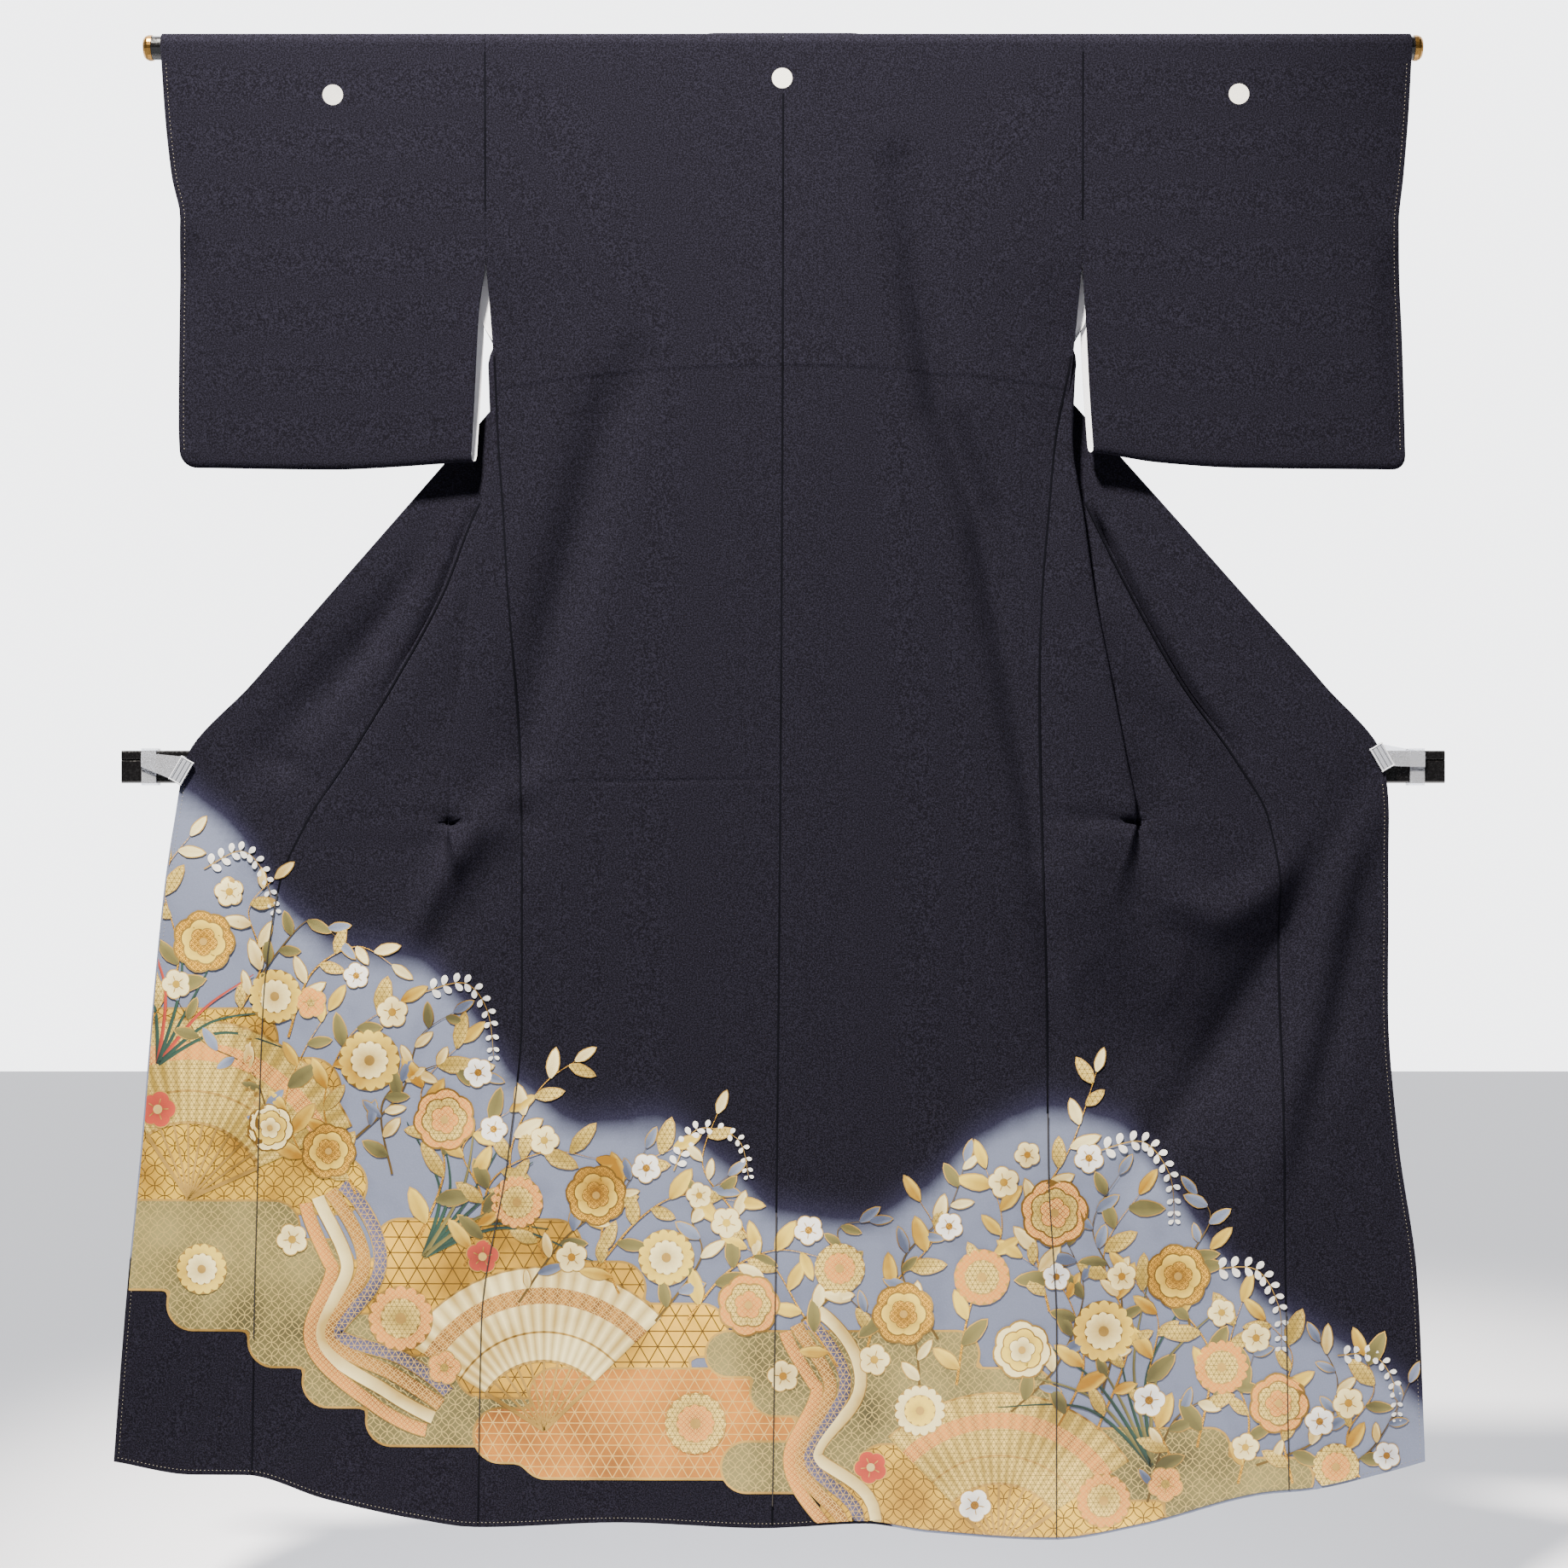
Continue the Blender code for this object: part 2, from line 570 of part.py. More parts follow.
def make_rod_cap(side, material, collection):
    # a turned brass cap with a flat end, 0.3 mm clear of the rod's end
    outer = [(CAP_RADIUS, 0.0), (CAP_RADIUS, CAP_LENGTH * 0.45), (CAP_RADIUS * 0.93, CAP_LENGTH * 0.75),
             (CAP_RADIUS * 0.78, CAP_LENGTH)]
    profile = [(0.0, CAP_LENGTH)] + outer[::-1] + [(0.0, 0.0)]
    mesh = bmesh.new()
    verts = [mesh.verts.new((r * MM, 0, h * MM)) for r, h in profile]
    for first, second in zip(verts, verts[1:]):
        mesh.edges.new((first, second))
    data = bpy.data.meshes.new("rod_cap_" + side)
    mesh.to_mesh(data)
    mesh.free()
    cap = place_object(bpy.data.objects.new(data.name, data), data.name, material, collection)
    screw = cap.modifiers.new("turn", "SCREW")
    screw.steps = 24
    screw.render_steps = 24
    screw.use_merge_vertices = True
    screw.merge_threshold = 0.00005
    cap.rotation_euler = (0, sign(side) * math.pi / 2, 0)
    cap.location = (sign(side) * (ROD_HALF + FIT) * MM, 0, 0)


def make_extruded(name, outline, thickness, material, collection):
    # a flat outline in its own XY plane, thick along its own Z
    curve = bpy.data.curves.new(name, "CURVE")
    curve.dimensions = "2D"
    curve.fill_mode = "BOTH"
    curve.extrude = thickness * MM / 2
    spline = curve.splines.new("POLY")
    spline.points.add(len(outline) - 1)
    for target, (x, y) in zip(spline.points, outline):
        target.co = (x * MM, y * MM, 0, 1)
    spline.use_cyclic_u = True
    return place_object(bpy.data.objects.new(name, curve), name, material, collection)


def make_rail(material, collection):
    # a flat lacquered rail with a small bead along its upper edge, seen end on
    half_h, depth_mm, bead, chamfer = RAIL_HEIGHT / 2, RAIL_DEPTH, 9.0, 2.0
    outline = [(chamfer, -half_h), (depth_mm - chamfer, -half_h), (depth_mm, -half_h + chamfer),
               (depth_mm, half_h - chamfer), (depth_mm - chamfer, half_h), (chamfer, half_h),
               (0, half_h - chamfer), (0, half_h - bead), (1.5, half_h - bead - 1.5),
               (0, half_h - bead - 3.0), (0, -half_h + chamfer)]
    rail = make_extruded("rail", outline, 2 * RAIL_HALF, material, collection)
    # the outline's x is the depth away from the viewer and its y is height
    rail.matrix_world = Matrix(((0, 0, 1, 0), (1, 0, 0, RAIL_FRONT * MM),
                                (0, 1, 0, -RAIL_DROP * MM), (0, 0, 0, 1)))


CLIP = {"left": {"x": -664.0, "drop": 797.0}, "right": {"x": 661.0, "drop": 782.0}}
CLIP_TILT = 30.0          # the jaw leans this far from upright, with its top towards the middle
CLIP_LENGTH = 29.0
JAW_WIDTH = 13.0
JAW_WALL = 2.6
EDGE_TO_LIP = 6.5         # from the clip's middle out to the lip, past the cloth's edge
STRAP_X = 704.0


def clip_frame(side):
    # the clip's own axes: along the jaw, and away from the garment
    lean = math.radians(CLIP_TILT)
    away = Vector((sign(side) * math.cos(lean), 0, math.sin(lean)))
    along = Vector((-sign(side) * math.sin(lean), 0, math.cos(lean)))
    middle = Vector((CLIP[side]["x"], 0, -CLIP[side]["drop"]))
    return middle, along, away


def jaw_near_face(side):
    # just before the cloth wherever the jaw covers it
    places = []
    for along in (-CLIP_LENGTH / 2, CLIP_LENGTH / 2):
        for away in (EDGE_TO_LIP - JAW_WIDTH, EDGE_TO_LIP):
            middle, up, outwards = clip_frame(side)
            corner = middle + up * along + outwards * away
            row = okumi_row(side, -corner.z)
            share = min(1.0, (abs(corner.x) - row[0][0]) / (row[-1][0] - row[0][0]))
            places.append(row[0][1] + (row[-1][1] - row[0][1]) * share)
    return min(places) - CLOTH_WALL / 2 - 2 * FIT


def jaw_far_face(side):
    return depth("edge", CLIP_DROP - 40) + COLLAR_BEHIND + COLLAR_WALL / 2 + FIT


def make_clip_front(side, material, collection):
    # near jaw: a plate before the cloth with a lip that turns back past the cloth's edge
    middle, along, away = clip_frame(side)
    face = jaw_near_face(side)
    back = jaw_far_face(side) - FIT
    inner, lip = EDGE_TO_LIP - JAW_WIDTH, EDGE_TO_LIP + JAW_WALL
    outline = [(inner, face), (EDGE_TO_LIP, face), (EDGE_TO_LIP, back), (lip, back),
               (lip, face - JAW_WALL), (inner, face - JAW_WALL)]
    jaw = make_extruded("clip_front_" + side, outline, CLIP_LENGTH, material, collection)
    normal = away.cross(Vector((0, 1, 0)))
    matrix = Matrix.Identity(4)
    matrix.col[0] = away.to_4d()
    matrix.col[1] = (0, 1, 0, 0)
    matrix.col[2] = normal.to_4d()
    matrix.col[3] = (middle.x * MM, 0, middle.z * MM, 1)
    for k in range(3):
        matrix.col[k][3] = 0.0
    jaw.matrix_world = matrix


def make_clip_back(side, material, collection):
    # far jaw with the arm that reaches out to the strap on the rail
    middle, along, away = clip_frame(side)
    half = CLIP_LENGTH / 2
    corners = [(-8.0, -half), (7.0, -half), (7.0, half), (-8.0, half)]
    jaw = [middle + away * a + along * b for a, b in corners]
    arm_top = -RAIL_DROP + RAIL_HEIGHT / 2 - 2.0
    arm_low = arm_top - 16.0
    reach = sign(side) * (STRAP_X + STRAP_WIDTH / 2)
    outline = [(jaw[0].x, jaw[0].z), (jaw[1].x, jaw[1].z), (reach, arm_low), (reach, arm_top),
               (jaw[2].x, jaw[2].z), (jaw[3].x, jaw[3].z)]
    if side == "left":
        outline.reverse()
    wall = RAIL_FRONT - FIT - STRAP_WALL - FIT - jaw_far_face(side)
    plate = make_extruded("clip_back_" + side, outline, wall, material, collection)
    # the outline's y is height; its thickness runs away from the viewer
    plate.matrix_world = Matrix(((1, 0, 0, 0), (0, 0, -1, (jaw_far_face(side) + wall / 2) * MM),
                                 (0, 1, 0, 0), (0, 0, 0, 1)))


def make_strap(side, material, collection):
    # a plastic band closed round the rail
    y0, y1 = RAIL_FRONT - FIT, RAIL_FRONT + RAIL_DEPTH + FIT
    z0, z1 = -RAIL_DROP - RAIL_HEIGHT / 2 - FIT, -RAIL_DROP + RAIL_HEIGHT / 2 + FIT
    mesh = bmesh.new()
    rows = []
    for x in (-STRAP_WIDTH / 2, STRAP_WIDTH / 2):
        place = sign(side) * STRAP_X + x
        corners = [(y0, z0), (y1, z0), (y1, z1), (y0, z1)]
        rows.append([mesh.verts.new((place * MM, y * MM, z * MM)) for y, z in corners])
    for i in range(4):
        j = (i + 1) % 4
        mesh.faces.new((rows[0][i], rows[0][j], rows[1][j], rows[1][i]))
    bmesh.ops.recalc_face_normals(mesh, faces=mesh.faces)
    data = bpy.data.meshes.new("strap_" + side)
    mesh.to_mesh(data)
    mesh.free()
    band = place_object(bpy.data.objects.new(data.name, data), data.name, material, collection)
    solidify = band.modifiers.new("wall", "SOLIDIFY")
    solidify.thickness = STRAP_WALL * MM
    solidify.offset = 1.0
    solidify.use_even_offset = True


def main():
    clear_scene()
    collection = bpy.data.collections.new("kimono_on_rod")
    bpy.context.scene.collection.children.link(collection)
    silk, lacquer, brass, plastic = [make_material(name) for name in COLOURS]
    for side in ("left", "right"):
        make_body(side, silk, collection)
        make_okumi(side, silk, collection)
        make_sleeve(side, silk, collection)
        make_rod_cap(side, brass, collection)
        make_clip_front(side, plastic, collection)
        make_clip_back(side, plastic, collection)
        make_strap(side, plastic, collection)
    make_collar(silk, collection)
    make_rod(lacquer, collection)
    make_rail(lacquer, collection)
    bpy.context.view_layer.update()


main()
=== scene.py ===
# Looks of a formal black kimono with its back to the viewer: silk, lining, seams, painted hem,
# stitches, and the rod, rail and clips that hold it. x and z are the frame's, and "drop" is the
# distance below the rod's axis. Lengths in the tables are millimetres.
import itertools
import math
import random

import bmesh
import bpy
import numpy as np
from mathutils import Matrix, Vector
from mathutils.bvhtree import BVHTree


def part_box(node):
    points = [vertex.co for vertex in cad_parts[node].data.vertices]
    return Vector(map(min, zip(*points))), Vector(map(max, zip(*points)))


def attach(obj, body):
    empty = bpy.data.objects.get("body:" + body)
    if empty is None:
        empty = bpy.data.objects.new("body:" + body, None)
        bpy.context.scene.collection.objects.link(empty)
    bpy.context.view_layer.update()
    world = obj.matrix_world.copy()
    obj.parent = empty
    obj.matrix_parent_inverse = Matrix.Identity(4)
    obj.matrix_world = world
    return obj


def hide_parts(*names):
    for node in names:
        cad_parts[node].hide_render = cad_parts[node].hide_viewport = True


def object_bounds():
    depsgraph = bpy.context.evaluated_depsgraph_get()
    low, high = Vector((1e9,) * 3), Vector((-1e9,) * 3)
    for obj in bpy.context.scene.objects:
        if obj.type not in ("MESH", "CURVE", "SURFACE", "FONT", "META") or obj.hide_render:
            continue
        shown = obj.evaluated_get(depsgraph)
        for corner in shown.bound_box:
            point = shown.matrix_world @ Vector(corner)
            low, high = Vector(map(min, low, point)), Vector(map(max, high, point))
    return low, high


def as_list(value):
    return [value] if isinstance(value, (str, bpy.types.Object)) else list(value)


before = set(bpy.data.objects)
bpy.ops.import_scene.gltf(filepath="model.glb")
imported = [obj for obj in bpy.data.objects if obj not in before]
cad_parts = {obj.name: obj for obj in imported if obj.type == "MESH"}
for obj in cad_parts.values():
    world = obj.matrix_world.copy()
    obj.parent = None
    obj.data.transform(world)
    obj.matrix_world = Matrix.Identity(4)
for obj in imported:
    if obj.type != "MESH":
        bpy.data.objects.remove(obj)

mm = 0.001
cadBox = [list(corner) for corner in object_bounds()]
sides = ("left", "right")


def signOf(side):
    return -1.0 if side == "left" else 1.0


def smooth(low, high, value):
    share = min(1.0, max(0.0, (value - low) / (high - low)))
    return share * share * (3.0 - 2.0 * share)


def window(begins, full, eases, ends, value):
    # rises from 0 to 1, and falls to 0 again
    return smooth(begins, full, value) * (1.0 - smooth(eases, ends, value))


def blend(first, second, share):
    return first + (second - first) * share


def readLine(points, at, column=1):
    # a smooth line through the points, with no overshoot
    xs = [p[0] for p in points]
    ys = [p[column] for p in points]
    if at <= xs[0]:
        return ys[0]
    if at >= xs[-1]:
        return ys[-1]
    slopes = [(ys[i + 1] - ys[i]) / (xs[i + 1] - xs[i]) for i in range(len(xs) - 1)]
    i = max(k for k in range(len(xs) - 1) if xs[k] <= at)

    def tangent(k):
        if k == 0 or k == len(xs) - 1:
            return slopes[min(k, len(slopes) - 1)]
        before, after = slopes[k - 1], slopes[k]
        return 0.0 if before * after <= 0 else 2.0 * before * after / (before + after)

    span = xs[i + 1] - xs[i]
    t = (at - xs[i]) / span
    return ((2 * t ** 3 - 3 * t ** 2 + 1) * ys[i] + (t ** 3 - 2 * t ** 2 + t) * span * tangent(i)
            + (3 * t ** 2 - 2 * t ** 3) * ys[i + 1] + (t ** 3 - t ** 2) * span * tangent(i + 1))


def mixRows(first, second, share):
    return [tuple(blend(a, b, share) for a, b in zip(p, q)) for p, q in zip(first, second)]


def evenly(start, end, count):
    return [start + (end - start) * i / (count - 1) for i in range(count)]


def spread(start, end, count):
    # places at even gaps from one to the other
    return list(zip(*(evenly(a, b, count) for a, b in zip(start, end))))


def steps(low, high, size):
    count = max(1, round(abs(high - low) / size))
    return [low + (high - low) * i / count for i in range(count + 1)]


# The cut and the hang of the cloth, as the maker's measures and the places that the frame gives.
cloth = {
    "wall": 1.5,              # silk and lining together
    "collarWall": 2.8,
    "rod": 13.0,
    "clear": 0.35,            # from the rod to the cloth
    "seamGap": 0.35,
    "neckHalf": 88.0,
    "sleeveJoin": 235.0,
    "openingEnd": 340.0,      # the side seam starts here
    "kensaki": 285.0,         # the overlap panel's upper point
    "centreLean": 12.0,
    "hemLevel": 1625.0,
    "hemStart": 1000.0,
    "bendLength": 8.1,        # of cloth in a folded edge
    "bendSteps": 6,
    "foldLeast": 9.0,
    "turnBulge": 3.5,
    "foldTop": 30.0,
    "pleatEnd": {"left": 856.0, "right": 850.0},
    "pleatSlope": {"left": 0.394, "right": 0.418},
}
wrap = cloth["rod"] + cloth["clear"] + cloth["wall"] / 2 + 0.45   # radius of the middle of the cloth

# drop, then the depth behind the rod's axis of the back's side, the front's side, the hidden
# crease, the overlap panel's seam and its free edge
depthTable = [
    (0, -wrap, wrap, wrap, wrap, wrap), (60, -13.0, 13.0, 14.2, 14.1, 14.1),
    (110, -12.0, 12.0, 14.6, 15.2, 15.2), (160, -10.8, 10.8, 15.0, 18.5, 18.5),
    (229, -8.5, 8.5, 15.0, 19.0, 19.0), (290, -4.0, 5.0, 15.0, 19.4, 19.4),
    (340, -1.6, 2.2, 15.0, 19.0, 19.5), (385, -1.2, -1.2, 14.6, 18.6, 19.3),
    (430, -1.2, -1.2, 14.0, 18.0, 19.0), (515, -3.0, -3.0, 12.5, 16.0, 18.0),
    (600, -5.0, -5.0, 11.0, 13.5, 16.0), (700, -6.5, -6.5, 8.0, 10.0, 14.0),
    (784, -7.0, -7.0, 4.0, 8.0, 12.0), (850, -7.5, -7.5, 0.0, 5.0, 11.0),
    (925, -8.0, -8.0, -4.0, 2.0, 10.0), (1060, -8.0, -8.0, -6.0, 1.0, 9.0),
    (1220, -9.0, -9.0, -8.0, -1.0, 6.0), (1400, -9.5, -9.5, -9.0, -4.0, 2.0),
    (1625, -10.0, -10.0, -10.0, -6.0, -2.0),
]
depthColumns = {"back": 1, "front": 2, "turn": 3, "okumi": 4, "edge": 5}

# drop, then how far out from the middle the side seam, the pleat's edge, the overlap panel's seam
# and its free edge lie
outTable = {
    "left": [
        (0, 327, 333, 88, 88), (60, 327, 333, 88, 88), (110, 327, 333, 88, 88),
        (160, 327, 333, 118, 118), (229, 327, 333, 178, 178), (270, 324, 330, 214, 214),
        (340, 318, 324, 251, 275), (430, 314, 322, 298, 353), (515, 308, 334, 343, 427),
        (600, 303, 345, 376, 501), (700, 295, 357, 430, 588), (784, 290, 366, 481, 661),
        (850, 288, 369, 524, 673), (925, 287, 360, 556, 684), (1060, 287, 350, 573, 697),
        (1220, 302, 350, 578, 708), (1400, 331, 370, 581, 722), (1625, 335, 380, 584, 737),
    ],
    "right": [
        (0, 329, 335, 88, 88), (60, 329, 335, 88, 88), (110, 329, 335, 88, 88),
        (160, 329, 335, 118, 118), (229, 329, 335, 179, 179), (270, 326, 332, 215, 215),
        (340, 317, 323, 254, 278), (430, 300, 319, 303, 358), (515, 292, 331, 341, 434),
        (600, 285, 343, 383, 509), (700, 282, 362, 439, 598), (784, 283, 378, 499, 664),
        (850, 285, 389, 536, 670), (925, 287, 380, 548, 670), (1060, 290, 365, 550, 669),
        (1220, 291, 360, 551, 679), (1400, 300, 365, 553, 699), (1625, 300, 370, 556, 707),
    ],
}
outColumns = {"side": 1, "fold": 2, "okumi": 3, "edge": 4}

# x and drop along the hem
hemLine = [(-737, 1557), (-649, 1571), (-592, 1571), (-503, 1597), (-400, 1619), (-338, 1627),
           (-179, 1621), (-19, 1627), (89, 1622), (160, 1632), (301, 1641), (390, 1627),
           (531, 1592), (578, 1588), (663, 1569), (707, 1557)]


def depthOf(name, drop):
    return readLine(depthTable, drop, depthColumns[name])


def outOf(side, name, drop):
    return readLine(outTable[side], drop, outColumns[name])


def centreOf(drop):
    return -cloth["centreLean"] * (max(0.0, drop) / cloth["hemLevel"]) ** 2


def hemDrop(x, drop):
    share = smooth(cloth["hemStart"], cloth["hemLevel"], drop)
    return drop + (readLine(hemLine, x) - cloth["hemLevel"]) * share


# Soft creases: width, push behind (+) or before (-) the cloth, and a line of x and drop.
creases = {
    "backTroughLeft": (28, 17, [(-167, 352), (-197, 415), (-221, 516), (-252, 634), (-275, 751),
                                (-288, 838)]),
    "backTroughRight": (21, 20, [(127, 135), (174, 399), (218, 517), (258, 730), (285, 878)]),
    "seamRight": (14, 6, [(246, 712), (270, 814), (281, 900), (290, 981), (300, 1120)]),
    "ridgeLeft": (18, -11, [(-272, 806), (-308, 829), (-342, 869), (-365, 900), (-391, 947), (-415, 1000)]),
    "lobeLeft": (28, 4, [(-278, 848), (-299, 880), (-332, 932), (-374, 986), (-404, 1024)]),
    "pinchLeft": (8, 11, [(-366, 848), (-366, 860)]),
    "okumiLeft": (26, 10, [(-590, 800), (-560, 765), (-493, 690), (-418, 612), (-357, 533)]),
    "smallLeft": (13, 5, [(-573, 775), (-540, 795), (-503, 809)]),
    "swagRight": (24, -9, [(377, 858), (395, 876), (434, 939), (481, 959), (536, 932), (604, 850)]),
    "underSwag": (80, 20, [(330, 1010), (400, 1090), (470, 1110), (535, 1040), (605, 930)]),
    "diagonalRight": (24, 8, [(646, 806), (583, 900), (552, 979), (505, 1064), (458, 1143), (403, 1214),
                              (350, 1290)]),
    "ridgeRight": (26, -9, [(676, 800), (622, 906), (599, 1010), (575, 1104), (547, 1198), (520, 1290)]),
    "secondRight": (18, 6, [(662, 838), (638, 947), (615, 1064), (591, 1143), (570, 1240)]),
    "pinchRight": (9, 12, [(387, 846), (387, 858)]),
    "pressedLine": (2.6, 0.6, [(-262, 810), (-5, 806)]),
    "smallRight": (12, 4, [(317, 845), (364, 853)]),
    "troughLeft": (26, 7, [(-650, 800), (-600, 930), (-590, 1100), (-575, 1300)]),
}


# The hem's design is a generic one of pale haze, cloud bands, fans and flowering vines. The haze's
# upper edge is x and drop; clouds are rows of rounded bars: start, end, drop and radius.
haze = {
    "top": [(-737, 760), (-656, 800), (-600, 850), (-545, 930), (-480, 975), (-410, 985), (-345, 1040),
            (-290, 1120), (-215, 1165), (-140, 1160), (-70, 1205), (0, 1265), (80, 1275), (150, 1240),
            (215, 1180), (290, 1150), (370, 1170), (430, 1240), (500, 1330), (560, 1380), (640, 1420),
            (707, 1475)],
    "fades": (-38.0, 48.0),
    "blackUntil": 120.0,      # left of this the cloth is black again below the clouds
    "beside": (-24, -12, 0, 12, 24),
    "inside": 16,             # the black begins this much above the clouds' lower edge
    "soft": 8,
}
clouds = {
    "goldLeft": ("goldShippo", [(-830, -590, 1092, 32), (-830, -520, 1146, 32), (-830, -560, 1200, 31),
                                (-830, -490, 1252, 31)]),
    "oliveLeft": ("olive", [(-830, -560, 1298, 27), (-720, -500, 1340, 27), (-650, -440, 1384, 27),
                            (-560, -395, 1424, 27), (-500, -310, 1468, 27), (-430, -240, 1510, 27)]),
    "goldMiddle": ("goldKagome", [(-420, -250, 1318, 28), (-470, -180, 1364, 28), (-400, -90, 1410, 28),
                                  (-330, -130, 1456, 28)]),
    "ochreMiddle": ("ochre", [(-250, -20, 1480, 27), (-310, 30, 1526, 29), (-260, -60, 1545, 27)]),
    "oliveMiddle": ("olive", [(-60, 190, 1436, 24), (-10, 270, 1478, 25), (40, 200, 1520, 25),
                              (-40, 130, 1560, 27)]),
    "goldRight": ("goldShippo", [(110, 330, 1562, 26), (70, 420, 1606, 27), (150, 300, 1640, 24)]),
    "oliveRight": ("olive", [(330, 470, 1540, 20), (370, 560, 1575, 22), (440, 540, 1608, 20)]),
}


def cloudBottom(x):
    levels = [level + math.sqrt(max(0.0, radius ** 2 - max(start - x, x - end, 0.0) ** 2))
              for colour, bands in clouds.values() for start, end, level, radius in bands
              if start - radius < x < end + radius]
    return max(levels, default=2000.0)


def hazeAt(x, drop):
    value = smooth(*haze["fades"], drop - readLine(haze["top"], x))
    if value > 0 and x < haze["blackUntil"]:
        lowest = min(cloudBottom(x + near) for near in haze["beside"]) - haze["inside"]
        value *= 1.0 - smooth(-haze["soft"], haze["soft"], drop - lowest)
    return value


def pushed(coords, weights, lines):
    # moves each point along y by the creases near it, fading towards each crease's ends
    shift = np.zeros(len(coords))
    x, drop = coords[:, 0] / mm, -coords[:, 2] / mm
    for width, push, line in lines:
        line = np.array(line, float)
        runs = np.linalg.norm(np.diff(line, axis=0), axis=1)
        best = np.full(len(coords), 1e9)
        along = np.zeros(len(coords))
        for i, run in enumerate(runs):
            way = (line[i + 1] - line[i]) / run
            t = np.clip((x - line[i][0]) * way[0] + (drop - line[i][1]) * way[1], 0.0, run)
            gap = np.hypot(x - line[i][0] - way[0] * t, drop - line[i][1] - way[1] * t)
            nearer = gap < best
            best = np.where(nearer, gap, best)
            along = np.where(nearer, (runs[:i].sum() + t) / runs.sum(), along)
        ends = np.sin(math.pi * np.clip(along * 0.84 + 0.08, 0.0, 1.0))
        shift += push * np.exp(-(best / width) ** 2) * ends
    coords[:, 1] += shift * weights * mm
    return coords


def place(x, y, drop):
    return (x * mm, y * mm, -drop * mm)


def sheetPlace(side, away, y, drop):
    x = signOf(side) * away
    return place(x, y, hemDrop(x, drop))


def newMesh(name, points, edges, faces):
    data = bpy.data.meshes.new(name)
    data.from_pydata(points, edges, faces)
    return data


def addObject(name, data):
    thing = bpy.data.objects.new(name, data)
    bpy.context.scene.collection.objects.link(thing)
    return thing


class Sheet:
    # one cut piece: rows of points joined by faces, with the outside known
    def __init__(self, name):
        self.name = name
        self.points = []
        self.weights = []
        self.faces = []

    def row(self, points, weight=1.0):
        start = len(self.points)
        self.points += points
        self.weights += weight if isinstance(weight, list) else [weight] * len(points)
        return list(range(start, start + len(points)))

    def join(self, first, second):
        if len(first) == len(second):
            for i in range(len(first) - 1):
                self.faces.append((first[i], first[i + 1], second[i + 1], second[i]))
            return
        i = j = 0
        while i < len(first) - 1 or j < len(second) - 1:
            nextI = (i + 1) / (len(first) - 1)
            nextJ = (j + 1) / (len(second) - 1)
            if j == len(second) - 1 or (i < len(first) - 1 and nextI <= nextJ):
                self.faces.append((first[i], first[i + 1], second[j]))
                i += 1
            else:
                self.faces.append((first[i], second[j + 1], second[j]))
                j += 1

    def joinAll(self, rows):
        for first, second in zip(rows, rows[1:]):
            self.join(first, second)

    def finish(self, wall, outward, materials):
        # outward is about where the first face looks outside the garment
        coords = pushed(np.array(self.points, float), np.array(self.weights), creases.values())
        mesh = bmesh.new()
        verts = [mesh.verts.new(p) for p in coords]
        for face in self.faces:
            mesh.faces.new([verts[i] for i in face])
        bmesh.ops.recalc_face_normals(mesh, faces=mesh.faces)
        mesh.faces.ensure_lookup_table()
        mesh.normal_update()
        if mesh.faces[0].normal.dot(Vector(outward)) < 0:
            bmesh.ops.reverse_faces(mesh, faces=mesh.faces)
        # sharp at the cut edges, so that their shading stays off the cloth
        for edge in mesh.edges:
            edge.smooth = not edge.is_boundary
        data = bpy.data.meshes.new(self.name)
        mesh.to_mesh(data)
        mesh.free()
        data.shade_smooth()
        dyed = data.attributes.new("haze", "FLOAT", "POINT")
        dyed.data.foreach_set("value", [hazeAt(x / mm, -z / mm) for x, y, z in coords])
        for material in materials:
            data.materials.append(material)
        piece = addObject(self.name, data)
        solidify = piece.modifiers.new("wall", "SOLIDIFY")
        for name, value in (("thickness", wall * mm), ("offset", 0.0), ("use_even_offset", False),
                            ("material_offset", 1), ("material_offset_rim", 0)):
            setattr(solidify, name, value)
        return piece


def bend(start, first, last):
    # the cloth turns from one direction to another, in radians
    points = [start]
    chord = cloth["bendLength"] / cloth["bendSteps"]
    for i in range(cloth["bendSteps"]):
        angle = first + (last - first) * (i + 0.5) / cloth["bendSteps"]
        away, y = points[-1]
        points.append((away + chord * math.cos(angle), y + chord * math.sin(angle)))
    return points


frontCounts = {"beside": 7, "behind": 10, "beyond": 18}
bendRadius = cloth["bendLength"] / cloth["bendSteps"] / 2 / math.sin(math.pi / 2 / cloth["bendSteps"])
# the pleat under the arm: the first three are drops past the end of the side opening, and the next
# three are drops past the pleat's own end
pleat = {
    "begins": (-50, 10),
    "gapTurns": (-40, 0),
    "sewn": (-14, -2),
    "nears": (-90, 0),
    "closes": (-26.0, 24.0),
    "fades": (30.0, 230.0),
    "turns": (100, 170),      # where the front's fold at the collar opens out
    "shows": (234, 262, 300, 330),
    "sideShows": 11.0,        # of the front beside the side opening
    "start": 12.0,
    "narrow": 10.0,           # the slope that the pleat ends in, at its top and lower down
    "wide": 120.0,
}
# the layer behind the right pleat is pressed forwards along the fold, and less near its two ends
pressed = {"by": {"left": 0.0, "right": 8.0}, "reach": 26.0, "ends": (25, 12),
           "between": (550, 640, 760, 840)}
# where one sewn edge lies under the other
tuck = {"reach": 3.0, "under": 2.6, "okumiUnder": 5.4, "behind": 0.4, "middle": (0.2, 0.75)}


